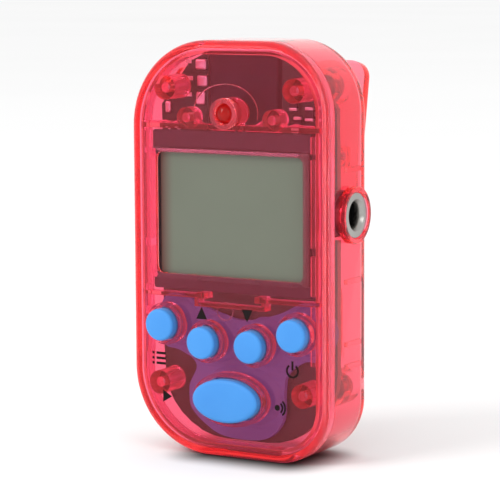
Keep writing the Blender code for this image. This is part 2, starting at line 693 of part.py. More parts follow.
def headphone_jack():
    body = box("jack_body", JACK_BODY_LOW, JACK_BODY_HIGH)
    bore = rod(
        "bore",
        JACK_BORE + 0.1 * MM,
        (JACK_BODY_LOW.x + 1.2 * MM, JACK_Y, JACK_Z),
        (JACK_BODY_HIGH.x + 1 * MM, JACK_Y, JACK_Z),
    )
    spring_room = 0.8 * MM
    slots = [bore]
    for z in (JACK_BODY_LOW.z, JACK_BODY_HIGH.z):
        low = (6.4 * MM, JACK_Y - spring_room, z - 1.1 * MM)
        slots.append(box("spring_slot", low, (11.4 * MM, JACK_Y + spring_room, z + 1.1 * MM)))
    helpers(body, "DIFFERENCE", slots)
    finish(body, ((0.02, 0.02, 0.02), 0.4))

    start = JACK_BODY_HIGH.x + GAP
    chamfer, flare = 0.6 * MM, 0.45 * MM
    length = JACK_FACE_X - start
    profile = [
        (JACK_BORE + flare, length),
        (JACK_FLANGE - 0.15 * MM, length),
        (JACK_FLANGE, length - 0.15 * MM),
        (JACK_FLANGE, JACK_FLANGE_X - start),
        (JACK_SHANK, JACK_FLANGE_X - start),
        (JACK_SHANK, 0),
        (JACK_BORE, 0),
        (JACK_BORE, length - chamfer),
    ]
    place = facing((1, 0, 0), (start, JACK_Y, JACK_Z))
    finish(turned("jack_sleeve", profile, place, FINE_SIDES, closed=True), NICKEL)

    strip = 0.12 * MM
    sides = (("jack_spring_upper", 1, JACK_BODY_HIGH.z), ("jack_spring_lower", -1, JACK_BODY_LOW.z))
    for name, side, z in sides:
        low = (6.8 * MM, JACK_Y - 0.5 * MM, z - side * 0.6 * MM - strip)
        spring = box(name, low, (11.0 * MM, JACK_Y + 0.5 * MM, z - side * 0.6 * MM + strip))
        finish(spring, ((0.75, 0.55, 0.25), 0.3, 1.0))


def battery():
    profile = rounded_rim(CELL_RADIUS, CELL_BACK_Y - CELL_FRONT_Y, 0.5 * MM, 0.4 * MM, 2)[:-1]
    profile += [(CELL_RADIUS - 1 * MM, 0.5 * MM), (CELL_RADIUS - 1.4 * MM, 0), (0, 0)]
    cell = turned("coin_cell", profile, facing((0, 1, 0), (0, CELL_FRONT_Y, CELL_Z)), 32)
    finish(cell, NICKEL)

    leaf_half, leaf_low, leaf_high = 2.5 * MM, CELL_Z - 6 * MM, CELL_Z + 6 * MM
    tongue = mirrored(
        [
            (leaf_half * 0.4, leaf_low),
            (leaf_half, leaf_low + 2 * MM),
            (leaf_half, leaf_high - 2 * MM),
            (leaf_half * 0.4, leaf_high),
        ]
    )
    leaf = slab("battery_contact_negative", [tongue], BOARD_MOUNT_BACK, BOARD_MOUNT_BACK + 0.3 * MM)
    finish(leaf, NICKEL)

    strip_z = CELL_Z + CELL_RADIUS + GAP
    low = (-2.5 * MM, BOARD_MOUNT_BACK, strip_z)
    strip = box("battery_contact_positive", low, (2.5 * MM, CELL_BACK_Y - 0.6 * MM, strip_z + 0.25 * MM))
    finish(strip, NICKEL)


# The keypad


def keypad():
    wing = [
        (0, BOARD_LOW + 0.3 * MM),
        (4.6 * MM, 2.8 * MM),
        (8.6 * MM, 5.8 * MM),
        (9.0 * MM, 9.4 * MM),
        (7.9 * MM, 12.2 * MM),
        (10.4 * MM, 14.2 * MM),
        (13.8 * MM, 14.9 * MM),
        (14.0 * MM, 21.6 * MM),
        (10.6 * MM, 22.9 * MM),
        (6.0 * MM, 21.0 * MM),
        (0, 19.6 * MM),
    ]
    outline = wing + [(-x, z) for x, z in reversed(wing[1:-1])]
    holes = [circle_outline(x, z, SHEET_HOLE) for _, x, z in BUTTONS]
    grow = SHEET_HOLE - BUTTON_RADIUS
    holes.append(oval_outline(0, TAP_Z, TAP_HALF_WIDTH + grow, TAP_HALF_HEIGHT + grow))
    sheet = slab("keypad_membrane", [outline] + holes, SHEET_FRONT_Y, BOARD_MOUNT_FRONT)
    finish(sheet, BLUE_SILICONE)

    height = BUTTON_BACK_Y - BUTTON_TOP_Y
    profile = rounded_rim(BUTTON_RADIUS, 0, -height, BUTTON_ROUND)
    for name, x, z in BUTTONS:
        top = (x, BUTTON_TOP_Y, z)
        finish(turned(f"button_{name}", profile, facing((0, -1, 0), top)), BLUE_SILICONE)
        pill(f"contact_pill_{name}", x, z, PILL_RADIUS)

    tap_outline = oval_outline(0, TAP_Z, TAP_HALF_WIDTH, TAP_HALF_HEIGHT, 32)
    tap = slab("button_tap", [tap_outline], BUTTON_TOP_Y, BUTTON_BACK_Y)
    bevel = tap.modifiers.new("Edge", "BEVEL")
    bevel.limit_method = "ANGLE"
    bevel.angle_limit = math.radians(60)
    bevel.width = BUTTON_ROUND
    bevel.segments = 3
    finish(tap, BLUE_SILICONE, origin=(0, BUTTON_TOP_Y, TAP_Z))
    pill("contact_pill_tap", 0, TAP_Z, PILL_RADIUS * 1.3)


def pill(name, x, z, radius):
    """The conductive pad on the back of a button."""
    disc = post(name, x, z, radius, PILL_FRONT_Y, PILL_BACK_Y, 12)
    finish(disc, ((0.02, 0.02, 0.02), 0.7), origin=(x, PILL_FRONT_Y, z))


# The clip


def clip():
    """The lever is built in its own frame: X along the pin, Z up the plate, Y out through it."""
    outline = rounded_outline(CLIP_HALF_WIDTH, -CLIP_DOWN, CLIP_UP, CLIP_CORNER, 4)
    lever = slab("clip_lever", [outline], CLIP_INNER, CLIP_INNER + CLIP_THICKNESS)
    lever.matrix_world = CLIP_FRAME
    reach = CLIP_HALF_WIDTH - CLIP_CORNER
    jaw_z, jaw_y = -CLIP_DOWN + JAW_RADIUS + 0.2 * MM, CLIP_INNER + 0.1 * MM
    joined = [rod("jaw", JAW_RADIUS, (-reach, jaw_y, jaw_z), (reach, jaw_y, jaw_z), 12)]
    for side in (-1, 1):
        ends = (side * EAR_X - EAR_THICKNESS / 2, side * EAR_X + EAR_THICKNESS / 2)
        joined.append(rod("ear", EAR_RADIUS, (ends[0], 0, 0), (ends[1], 0, 0)))
        low = (ends[0], 0, -EAR_RADIUS)
        joined.append(box("ear_web", low, (ends[1], CLIP_INNER + SINK, EAR_RADIUS)))
    hole = rod("ear_hole", PIN_HOLE, (-EAR_X * 1.3, 0, 0), (EAR_X * 1.3, 0, 0), 12)
    for piece in [*joined, hole]:
        piece.matrix_world = CLIP_FRAME
    helpers(lever, "UNION", joined)
    helpers(lever, "DIFFERENCE", [hole])
    finish(lever, CLEAR_RED)

    half_pin = EAR_X + EAR_THICKNESS / 2 - 0.2 * MM
    pin = rod("clip_pin", PIN_RADIUS, (-half_pin, *CLIP_PIVOT.yz), (half_pin, *CLIP_PIVOT.yz))
    finish(pin, STEEL)

    turn_steps = 12
    pitch = 2.6 * SPRING_WIRE
    half_coil = COIL_TURNS * pitch / 2
    leg_up = 5 * MM
    case_leg_y = REAR_Y + GAP + SPRING_WIRE - CLIP_PIVOT.y
    first = math.radians(180)
    path = [Vector((-half_coil - pitch / 2, case_leg_y, leg_up))]
    steps = int(COIL_TURNS * turn_steps) + 1
    for step in range(steps):
        angle = first + 2 * math.pi * step / turn_steps
        x = -half_coil + 2 * half_coil * step / (steps - 1)
        path.append(Vector((x, COIL_RADIUS * math.cos(angle), COIL_RADIUS * math.sin(angle))))
    plate_leg = Vector((half_coil + pitch / 2, CLIP_INNER - GAP - 2 * SPRING_WIRE, leg_up))
    path += [Vector((half_coil + pitch / 2, 0, COIL_RADIUS)), Matrix.Rotation(-CLIP_LEAN, 4, "X") @ plate_leg]
    spring = wire("clip_spring", [CLIP_PIVOT + place for place in path], SPRING_WIRE)
    finish(spring, STEEL, origin=CLIP_PIVOT)


clear_scene()
PIECES = new_collection("metronome")
CUTTERS = new_collection("cutters")
front_cover()
rear_cover()
battery_door()
case_screws()
display()
circuit_board()
components()
buzzer()
indicator_lamp()
headphone_jack()
battery()
keypad()
clip()
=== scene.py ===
"""The looks of the clip-on metronome: clear red case, display, silicone keys and everything inside."""

import json
import math

import bmesh
import bpy
from mathutils import Matrix, Vector


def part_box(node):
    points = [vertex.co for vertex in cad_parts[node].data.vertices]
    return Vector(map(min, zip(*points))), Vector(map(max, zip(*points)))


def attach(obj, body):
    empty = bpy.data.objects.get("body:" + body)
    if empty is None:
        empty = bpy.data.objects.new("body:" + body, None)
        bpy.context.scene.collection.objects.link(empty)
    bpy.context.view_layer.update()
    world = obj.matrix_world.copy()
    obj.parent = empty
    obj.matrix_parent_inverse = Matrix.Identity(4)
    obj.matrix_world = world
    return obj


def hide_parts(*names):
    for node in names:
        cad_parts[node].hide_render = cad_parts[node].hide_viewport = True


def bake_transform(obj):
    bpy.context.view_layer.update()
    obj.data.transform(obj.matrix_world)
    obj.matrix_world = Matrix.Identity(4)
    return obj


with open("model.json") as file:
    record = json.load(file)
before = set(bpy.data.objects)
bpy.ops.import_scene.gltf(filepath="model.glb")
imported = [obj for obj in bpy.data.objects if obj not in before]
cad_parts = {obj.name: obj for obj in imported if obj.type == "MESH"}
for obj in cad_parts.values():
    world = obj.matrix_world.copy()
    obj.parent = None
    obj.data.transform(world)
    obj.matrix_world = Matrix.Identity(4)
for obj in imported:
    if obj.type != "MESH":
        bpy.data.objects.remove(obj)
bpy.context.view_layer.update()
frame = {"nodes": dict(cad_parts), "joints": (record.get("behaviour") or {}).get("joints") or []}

MM = 0.001
JOINTS = {joint["name"]: joint for joint in frame["joints"]}


def middle(node):
    low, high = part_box(node)
    return (low + high) / 2


# The case, from the frame
CASE_LOW, CASE_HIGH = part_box("front_cover")
HALF_WIDTH = CASE_HIGH.x
CASE_TOP = CASE_HIGH.z
REAR_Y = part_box("battery_door")[1].y
FRONT_Y = -REAR_Y
WALL = 1.2 * MM
CORNER_RADII = (8.4 * MM, 10.2 * MM, 12.4 * MM, 12.4 * MM)  # anticlockwise from the lower right
PARTING_Y = FRONT_Y + 2.4 * MM
SEAM = 0.12 * MM
FRONT_ROUND, REAR_ROUND = 1.3 * MM, 1.9 * MM
FRONT_INNER_Y = FRONT_Y + WALL
REAR_INNER_Y = REAR_Y - WALL
GAP = 0.3 * MM

LIP_THICKNESS = 0.5 * MM
LIP_END_Y = PARTING_Y + 1.0 * MM

BUTTONS = {name: middle(f"button_{name}") for name in ("select", "up", "down", "power")}
BUTTON_LOW, BUTTON_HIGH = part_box("button_up")
BUTTON_RADIUS = (BUTTON_HIGH.x - BUTTON_LOW.x) / 2
BUTTON_TOP_Y, BUTTON_BACK_Y = BUTTON_LOW.y, BUTTON_HIGH.y
TAP_LOW, TAP_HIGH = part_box("button_tap")
TAP_CENTRE = middle("button_tap")
TAP_HALF_WIDTH = (TAP_HIGH.x - TAP_LOW.x) / 2
TAP_HALF_HEIGHT = (TAP_HIGH.z - TAP_LOW.z) / 2
SHEET_OUTLINE = [
    (x * MM, z * MM)
    for x, z in (
        (0, 2.1), (4.2, 2.7), (6.6, 5.4), (7.0, 9.4), (7.6, 12.0), (10.2, 14.0), (13.6, 15.2), (13.7, 21.4),
        (10.6, 22.9), (6.0, 21.0), (0, 19.6), (-6.0, 21.0), (-10.6, 22.9), (-13.7, 21.4), (-13.6, 15.2),
        (-10.4, 14.2), (-7.9, 12.2), (-9.0, 9.4), (-8.6, 5.8), (-4.6, 2.8),
    )
]
GUIDE_END_Y = -4.2 * MM
GUIDE_WALL = 0.5 * MM

LAMP_Z = middle("led_body").z
LAMP_FRONT_Y, LAMP_BACK_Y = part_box("led_body")[0].y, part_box("led_body")[1].y
LAMP_RADIUS = 1.5 * MM
COLLAR_RADIUS = 2.25 * MM
COLLAR_FRONT_Y, COLLAR_END_Y = CASE_LOW.y, -3.4 * MM

BOARD_LOW, BOARD_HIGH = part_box("circuit_board")
SCREWS = [middle(f"case_screw_{number}") for number in (1, 2, 3, 4)]
FRONT_BOSS_RADIUS, REAR_BOSS_RADIUS = 1.75 * MM, 2.6 * MM
SCREW_HOLE = 1.0 * MM
SCREW_HEAD_FRONT_Y = 3.5 * MM
SCREW_HEAD_RADIUS = 1.6 * MM
PILOT_HOLE, PILOT_FRONT_Y = 0.75 * MM, -4.8 * MM
PEG_X, PEG_Z, PEG_RADIUS, PEG_END_Y = 7.1 * MM, 48.9 * MM, 1.5 * MM, -3.0 * MM
PEG_BORE, PEG_BORE_END_Y = 0.7 * MM, -2.0 * MM

GLASS_LOW, GLASS_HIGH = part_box("lcd_glass")
WINDOW_HALF_WIDTH = 12.2 * MM
WINDOW_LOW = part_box("lcd_polarizer")[0].z + 0.6 * MM
WINDOW_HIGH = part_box("lcd_polarizer")[1].z - 0.6 * MM
WINDOW_CORNER = 1.0 * MM
WINDOW_CHAMFER = 0.6 * MM

JACK = middle("jack_sleeve")
JACK_START_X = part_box("jack_sleeve")[0].x
JACK_BOSS, JACK_SHANK, JACK_FLANGE, JACK_BORE = 4.1 * MM, 2.7 * MM, 3.25 * MM, 1.85 * MM
JACK_BOSS_X = CASE_HIGH.x + 1.1 * MM
JACK_FACE_X = JACK_BOSS_X - 0.25 * MM
JACK_FLANGE_X = JACK_FACE_X - 0.6 * MM

CELL = middle("coin_cell")
WELL_HALF_WIDTH, WELL_CORNER, WELL_WALL = 10.9 * MM, 8 * MM, 0.8 * MM
WELL_LOW, WELL_HIGH = 7.8 * MM, 30.4 * MM
HOOK_X, HOOK_HALF_WIDTH = 2.2 * MM, 1.2 * MM
HOOK_FRONT_Y, HOOK_BACK_Y = 4.3 * MM, 4.9 * MM

CLIP_PIVOT = Vector(JOINTS["clip_hinge"]["pos_m"])
CLIP_LEAN = math.radians(10)
CLIP_FRAME = Matrix.Translation(CLIP_PIVOT) @ Matrix.Rotation(-CLIP_LEAN, 4, "X")
CLIP_HALF_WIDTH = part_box("clip_lever")[1].x
CLIP_UP, CLIP_DOWN = 14.2 * MM, 11.6 * MM
CLIP_INNER, CLIP_THICKNESS = 2.0 * MM, 1.6 * MM
CLIP_CORNER = 2.4 * MM
JAW_RADIUS = 2.0 * MM
EAR_X, EAR_THICKNESS, EAR_RADIUS = 10 * MM, 1.6 * MM, 1.5 * MM
LUG_X, LUG_THICKNESS, LUG_RADIUS = 7.5 * MM, 2 * MM, 1.6 * MM
PIN_HOLE = 0.75 * MM

CORNER_STEPS = 24
SIDES = 64
SINK = 0.5 * MM  # how far a joined solid runs into its neighbour
BEYOND = 1 * MM  # how far a cutter runs past what it cuts

# Camera: it looks at the object from its front right, a little above, with a long lens
CAMERA_TARGET = Vector((0.1 * MM, -0.5 * MM, 29.5 * MM))
CAMERA_DISTANCE = 340.6 * MM
CAMERA_AZIMUTH = math.radians(30.71)
CAMERA_ELEVATION = math.radians(7.23)
CAMERA_ROLL = math.radians(-0.3)
CAMERA_LENS = 169.5
CAMERA_SHIFT = (0.0034, 0.0015)


# Objects and meshes

COLLECTION = bpy.context.scene.collection


def mesh_object(name, bm):
    mesh = bpy.data.meshes.new(name)
    bm.to_mesh(mesh)
    bm.free()
    obj = bpy.data.objects.new(name, mesh)
    COLLECTION.objects.link(obj)
    return obj


def modified_mesh(obj):
    """Applies the object's modifiers and transform to its mesh."""
    graph = bpy.context.evaluated_depsgraph_get()
    mesh = bpy.data.meshes.new_from_object(obj.evaluated_get(graph))
    mesh.transform(obj.matrix_world)
    obj.modifiers.clear()
    obj.data = mesh
    obj.matrix_world = Matrix.Identity(4)
    return obj


def smooth(obj, degrees=32):
    obj.data.shade_smooth()
    obj.data.set_sharp_from_angle(angle=math.radians(degrees))
    return obj


def combined(obj, operation, others):
    """Joins or cuts the others, and removes them."""
    collection = bpy.data.collections.new(f"{obj.name}_{operation}")
    COLLECTION.children.link(collection)
    for other in others:
        COLLECTION.objects.unlink(other)
        collection.objects.link(other)
    modifier = obj.modifiers.new(operation, "BOOLEAN")
    modifier.operation = operation
    modifier.solver = "EXACT"
    modifier.operand_type = "COLLECTION"
    modifier.collection = collection
    modified_mesh(obj)
    for other in others:
        bpy.data.objects.remove(other, do_unlink=True)
    bpy.data.collections.remove(collection)
    return obj


def rounded_outline(half_width, low, high, radii, steps=CORNER_STEPS, x=0.0):
    """A rounded rectangle. The radii are one, or four anticlockwise from the lower right."""
    radii = radii if isinstance(radii, tuple) else (radii,) * 4
    corners = ((1, low, 1, -90), (1, high, -1, 0), (-1, high, -1, 90), (-1, low, 1, 180))
    points = []
    for radius, (side, end, inward, first) in zip(radii, corners):
        cx, cz = x + side * (half_width - radius), end + inward * radius
        for step in range(steps + 1):
            angle = math.radians(first + 90 * step / steps)
            points.append((cx + radius * math.cos(angle), cz + radius * math.sin(angle)))
    return points


def case_outline(inset=0.0):
    radii = tuple(radius - inset for radius in CORNER_RADII)
    return rounded_outline(HALF_WIDTH - inset, inset, CASE_TOP - inset, radii)


def oval_outline(x, z, half_width, half_height, sides=SIDES):
    turns = (2 * math.pi * step / sides for step in range(sides))
    return [(x + half_width * math.cos(a), z + half_height * math.sin(a)) for a in turns]


def curve_object(name, kind, splines, cyclic):
    curve = bpy.data.curves.new(name, "CURVE")
    curve.dimensions = kind
    if kind == "2D":
        curve.fill_mode = "BOTH"
    for points in splines:
        spline = curve.splines.new("POLY")
        spline.points.add(len(points) - 1)
        for point, place in zip(spline.points, points):
            point.co = (*place, *([0] * (3 - len(place))), 1)
        spline.use_cyclic_u = cyclic
    obj = bpy.data.objects.new(name, curve)
    COLLECTION.objects.link(obj)
    return obj


def curve_mesh(obj, name):
    graph = bpy.context.evaluated_depsgraph_get()
    mesh = bpy.data.meshes.new_from_object(obj.evaluated_get(graph))
    bm = bmesh.new()
    bm.from_mesh(mesh)
    bmesh.ops.remove_doubles(bm, verts=bm.verts, dist=0.001 * MM)
    bmesh.ops.recalc_face_normals(bm, faces=bm.faces)
    bm.transform(obj.matrix_world)
    bm.to_mesh(mesh)
    bm.free()
    bpy.data.objects.remove(obj, do_unlink=True)
    new = bpy.data.objects.new(name, mesh)
    COLLECTION.objects.link(new)
    return new


def slab(name, outlines, front, back):
    """A flat plate between two planes of constant Y. Outlines after the first are holes in it."""
    obj = curve_object(name + "_outline", "2D", outlines, True)
    obj.data.extrude = (back - front) / 2
    centre = Matrix.Translation((0, (front + back) / 2, 0))
    obj.matrix_world = centre @ Matrix.Rotation(math.radians(90), 4, "X")
    return curve_mesh(obj, name)


def wire(name, points, radius, cyclic=False, resolution=3):
    obj = curve_object(name + "_path", "3D", [points], cyclic)
    obj.data.bevel_depth = radius
    obj.data.bevel_resolution = resolution
    obj.data.use_fill_caps = not cyclic
    return curve_mesh(obj, name)


def box(name, low, high):
    bm = bmesh.new()
    low, high = Vector(low), Vector(high)
    place = Matrix.Translation((low + high) / 2) @ Matrix.Diagonal((*(high - low), 1))
    bmesh.ops.create_cube(bm, size=1, matrix=place)
    return mesh_object(name, bm)


def rod(name, radius, start, end, sides=SIDES):
    start, end = Vector(start), Vector(end)
    bm = bmesh.new()
    bmesh.ops.create_cone(
        bm,
        cap_ends=True,
        segments=sides,
        radius1=radius,
        radius2=radius,
        depth=(end - start).length,
        matrix=facing(end - start, (start + end) / 2),
    )
    return mesh_object(name, bm)


def post(name, radius, x, z, front, back, sides=SIDES):
    """A rod along Y, for posts and round holes."""
    return rod(name, radius, (x, front, z), (x, back, z), sides)


def axle(name, radius, left, right, place, sides=SIDES):
    """A rod along X. Its place is its (y, z)."""
    return rod(name, radius, (left, *place), (right, *place), sides)


def span(centre, size):
    return centre - size / 2, centre + size / 2


def facing(direction, point):
    """Places a turned piece at the point, with its own Z axis along the direction."""
    turn = Vector(direction).to_track_quat("Z", "Y").to_matrix().to_4x4()
    return Matrix.Translation(point) @ turn


def turned(name, profile, place, sides=SIDES, closed=False):
    """Turns (radius, height) points, top to bottom down the outer side, round the place's Z axis."""
    bm = bmesh.new()
    verts = [bm.verts.new((radius, 0, height)) for radius, height in profile]
    edges = [bm.edges.new(pair) for pair in zip(verts, verts[1:])]
    if closed:
        edges.append(bm.edges.new((verts[-1], verts[0])))
    bmesh.ops.spin(
        bm,
        geom=verts + edges,
        axis=(0, 0, 1),
        cent=(0, 0, 0),
        steps=sides,
        angle=2 * math.pi,
        use_merge=True,
    )
    bmesh.ops.remove_doubles(bm, verts=bm.verts, dist=0.0005 * MM)
    bmesh.ops.recalc_face_normals(bm, faces=bm.faces)
    bm.transform(place)
    return mesh_object(name, bm)


def arc(x, z, radius, first, last, steps=6):
    """Points of an arc, by its centre, radius and first and last angle in degrees."""
    angles = (math.radians(first + (last - first) * step / steps) for step in range(steps + 1))
    return [(x + radius * math.cos(a), z + radius * math.sin(a)) for a in angles]


def add_bevel(obj, width, segments, degrees):
    bevel = obj.modifiers.new("edges", "BEVEL")
    bevel.limit_method = "ANGLE"
    bevel.angle_limit = math.radians(degrees)
    bevel.width = width
    bevel.segments = segments


def bevelled(obj, width, segments=3):
    add_bevel(obj, width, segments, 50)
    return modified_mesh(obj)


def tray(name, face_y, open_y, edge_round):
    """A shell of the case's outline: a face with rounded edges and side walls, open at open_y."""
    bm = bmesh.new()
    verts = [bm.verts.new((x, face_y, z)) for x, z in case_outline()]
    face = bm.faces.new(verts)
    walls = bmesh.ops.extrude_edge_only(bm, edges=face.edges[:])
    rim = [item for item in walls["geom"] if isinstance(item, bmesh.types.BMVert)]
    bmesh.ops.translate(bm, verts=rim, vec=(0, open_y - face_y, 0))
    bmesh.ops.recalc_face_normals(bm, faces=bm.faces)
    if face.normal.y * face_y < 0:
        bmesh.ops.reverse_faces(bm, faces=bm.faces)
    obj = mesh_object(name, bm)
    add_bevel(obj, edge_round, 8, 60)
    solid = obj.modifiers.new("wall", "SOLIDIFY")
    solid.thickness = WALL
    solid.offset = -1
    solid.use_even_offset = True
    return modified_mesh(obj)


# Materials


def node_material(name):
    material = bpy.data.materials.new(name)
    material.use_nodes = True
    nodes = material.node_tree.nodes
    return material, material.node_tree, nodes["Principled BSDF"], nodes["Material Output"]


def principled(material):
    return material.node_tree.nodes["Principled BSDF"]


def add_node(tree, kind, inputs, **settings):
    """Adds a shader node. Each input is a value, or the socket that feeds it."""
    node = tree.nodes.new(f"ShaderNode{kind}")
    for name, value in settings.items():
        setattr(node, name, value)
    for name, value in inputs.items():
        if isinstance(value, bpy.types.NodeSocket):
            tree.links.new(value, node.inputs[name])
        else:
            node.inputs[name].default_value = value
    return node


def coordinates(tree, kind="Object"):
    return add_node(tree, "TexCoord", {}).outputs[kind]


def axes(tree, kind="Object"):
    return add_node(tree, "SeparateXYZ", {"Vector": coordinates(tree, kind)}).outputs


def maths(tree, operation, *values):
    return add_node(tree, "Math", dict(enumerate(values)), operation=operation).outputs["Value"]


def noise(tree, scale, detail=3.0):
    inputs = {"Vector": coordinates(tree), "Scale": scale, "Detail": detail}
    return add_node(tree, "TexNoise", inputs).outputs["Fac"]


def ramp(tree, value, *colours):
    """Two colours, one passing into the other over the middle of a noise's range."""
    node = add_node(tree, "ValToRGB", {"Fac": value})
    for element, place, colour in zip(node.color_ramp.elements, (0.3, 0.7), colours):
        element.position = place
        element.color = (*colour, 1)
    return node.outputs["Color"]


def mixed(tree, share, first, second):
    """The first colour where the share is 0, the second where it is 1."""
    inputs = {"Factor": share, "A": first, "B": second}
    return add_node(tree, "Mix", inputs, data_type="RGBA").outputs["Result"]


def spread(tree, value, low, high, start=0.0, end=1.0, curve="LINEAR"):
    """Maps the value's range from start to end onto the range from low to high."""
    inputs = {"Value": value, "From Min": start, "From Max": end, "To Min": low, "To Max": high}
    return add_node(tree, "MapRange", inputs, interpolation_type=curve).outputs["Result"]


def bump(tree, shader, height, strength, distance):
    node = add_node(tree, "Bump", {"Height": height, "Strength": strength, "Distance": distance})
    tree.links.new(node.outputs["Normal"], shader.inputs["Normal"])


def varied(name, colour, colour_end, roughness, metallic=0.0, grain=900.0, bump_strength=0.1):
    """A moulded or metal surface: slow colour variation, finer roughness variation and fine grain."""
    material, tree, shader, _ = node_material(name)
    tree.links.new(ramp(tree, noise(tree, 120.0), colour, colour_end), shader.inputs["Base Color"])
    tree.links.new(spread(tree, noise(tree, grain * 0.4), *roughness), shader.inputs["Roughness"])
    shader.inputs["Metallic"].default_value = metallic
    bump(tree, shader, noise(tree, grain), bump_strength, 0.01 * MM)
    return material


def clear_plastic(name, tint, absorbed, density, haze, haze_share, sheen, painted_glow, polished=None):
    """Clear dyed plastic: tinted surfaces with a little saturated haze, a painted glow, and absorption along
    the path.

    The haze and its painted glow (an emission, though the plastic is no lamp) are (low, high) pairs: low
    between the two planes Y = polished, high outside them.
    """
    material, tree, shader, output = node_material(name)
    paler = (min(1.0, part * 1.05) for part in tint)
    tree.links.new(ramp(tree, noise(tree, 60.0), tint, paler), shader.inputs["Base Color"])
    tree.links.new(spread(tree, noise(tree, 240.0), 0.015, 0.05), shader.inputs["Roughness"])
    shader.inputs["Transmission Weight"].default_value = 1.0
    shader.inputs["IOR"].default_value = 1.5
    shader.inputs["Specular Tint"].default_value = (*sheen, 1)
    bump(tree, shader, noise(tree, 90.0, 1.0), 0.12, 0.02 * MM)
    share, strength = haze_share[0], painted_glow[0]
    if polished:
        centre, reach = sum(polished) / 2, (polished[1] - polished[0]) / 2
        depth = maths(tree, "ABSOLUTE", maths(tree, "SUBTRACT", axes(tree)["Y"], centre))
        start, end = reach + 0.03 * MM, reach + 0.1 * MM
        share = spread(tree, depth, *haze_share, start, end)
        strength = spread(tree, depth, *painted_glow, start, end)
    back = add_node(tree, "BsdfDiffuse", {"Color": (*haze, 1)})
    through = add_node(tree, "BsdfTranslucent", {"Color": (*haze, 1)})
    both = add_node(tree, "MixShader", {1: back.outputs["BSDF"], 2: through.outputs["BSDF"]})
    mix = add_node(tree, "MixShader", {"Fac": share, 1: shader.outputs["BSDF"], 2: both.outputs["Shader"]})
    # Painted glow: an emission in the haze colour, though the plastic is no lamp.
    glow = add_node(tree, "Emission", {"Color": (*haze, 1), "Strength": strength})
    total = add_node(tree, "AddShader", {0: mix.outputs["Shader"], 1: glow.outputs["Emission"]})
    tree.links.new(total.outputs["Shader"], output.inputs["Surface"])
    volume = add_node(tree, "VolumeAbsorption", {"Color": (*absorbed, 1), "Density": density})
    tree.links.new(volume.outputs["Volume"], output.inputs["Volume"])
    return material


RED_DYE = {
    "absorbed": (0.998, 0.40, 0.10),
    "density": 200.0,
    "haze": (1.0, 0.17, 0.22),
    "sheen": (0.5, 0.15, 0.16),
}
CLEAR_RED = clear_plastic(
    "clear_red", (0.98, 0.325, 0.46), haze_share=(0.035, 0.035), painted_glow=(0.025, 0.025), **RED_DYE
)
# Outside its face wall the front shell has more haze and a stronger painted glow.
FRONT_RED = clear_plastic(
    "front_red",
    (0.98, 0.55, 0.80),
    haze_share=(0.025, 0.25),
    painted_glow=(0.022, 0.08),
    polished=(FRONT_Y, FRONT_INNER_Y),
    **RED_DYE,
)


def dress(obj, material, replaces=(), body="case"):
    """Gives a piece its material and its body, and hides the CAD nodes that it stands for."""
    obj.data.materials.clear()
    obj.data.materials.append(material)
    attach(obj, body)
    if replaces:
        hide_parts(*replaces)
    return obj


def paint(node, material):
    """A CAD node that keeps its shape gets a finished material."""
    obj = frame["nodes"][node]
    obj.data.materials.clear()
    obj.data.materials.append(material)


def soften(node, width):
    """A fine bevel on a CAD node that keeps its shape."""
    add_bevel(frame["nodes"][node], width, 1, 30)


# Camera, light and stage


def camera_view():
    camera = bpy.data.cameras.new("camera")
    camera.lens = CAMERA_LENS
    camera.clip_start = 0.01
    camera.shift_x, camera.shift_y = CAMERA_SHIFT
    holder = bpy.data.objects.new("camera", camera)
    COLLECTION.objects.link(holder)
    back = Vector(
        (
            math.sin(CAMERA_AZIMUTH) * math.cos(CAMERA_ELEVATION),
            -math.cos(CAMERA_AZIMUTH) * math.cos(CAMERA_ELEVATION),
            math.sin(CAMERA_ELEVATION),
        )
    )
    turn = back.to_track_quat("Z", "Y").to_matrix().to_4x4() @ Matrix.Rotation(CAMERA_ROLL, 4, "Z")
    holder.matrix_world = Matrix.Translation(CAMERA_TARGET + back * CAMERA_DISTANCE) @ turn
    bpy.context.scene.camera = holder


def pale_floor():
    """A pale floor with a painted shadow: darker right under the case's curved foot, where the light hardly
    reaches.
    """
    bm = bmesh.new()
    bmesh.ops.create_grid(bm, x_segments=1, y_segments=1, size=3.0)
    floor = mesh_object("floor", bm)
    material, tree, shader, _ = node_material("floor")
    tone = ramp(tree, noise(tree, 3.0), (0.93, 0.93, 0.93), (0.95, 0.95, 0.95))
    # Painted shadow: the floor darkens to near black round the case's footprint and fades out over the
    # reach.
    foot_offset, foot_half_size, reach = (-3.0 * MM, 2.0 * MM, 0), (6.5 * MM, 3.5 * MM, 0), 8.0 * MM
    place = add_node(tree, "Mapping", {"Vector": coordinates(tree), "Location": foot_offset})
    size = add_node(tree, "VectorMath", {0: place.outputs["Vector"]}, operation="ABSOLUTE")
    inputs = {0: size.outputs["Vector"], 1: foot_half_size}
    past = add_node(tree, "VectorMath", inputs, operation="SUBTRACT")
    outside = add_node(tree, "VectorMath", {0: past.outputs["Vector"]}, operation="MAXIMUM")
    distance = add_node(tree, "VectorMath", {0: outside.outputs["Vector"]}, operation="LENGTH")
    contact = spread(tree, distance.outputs["Value"], 0.06, 1.0, 0.0, reach, "SMOOTHSTEP")
    tree.links.new(mixed(tree, contact, (0, 0, 0, 1), tone), shader.inputs["Base Color"])
    shader.inputs["Roughness"].default_value = 0.8
    shader.inputs["Specular IOR Level"].default_value = 0.0
    floor.data.materials.append(material)


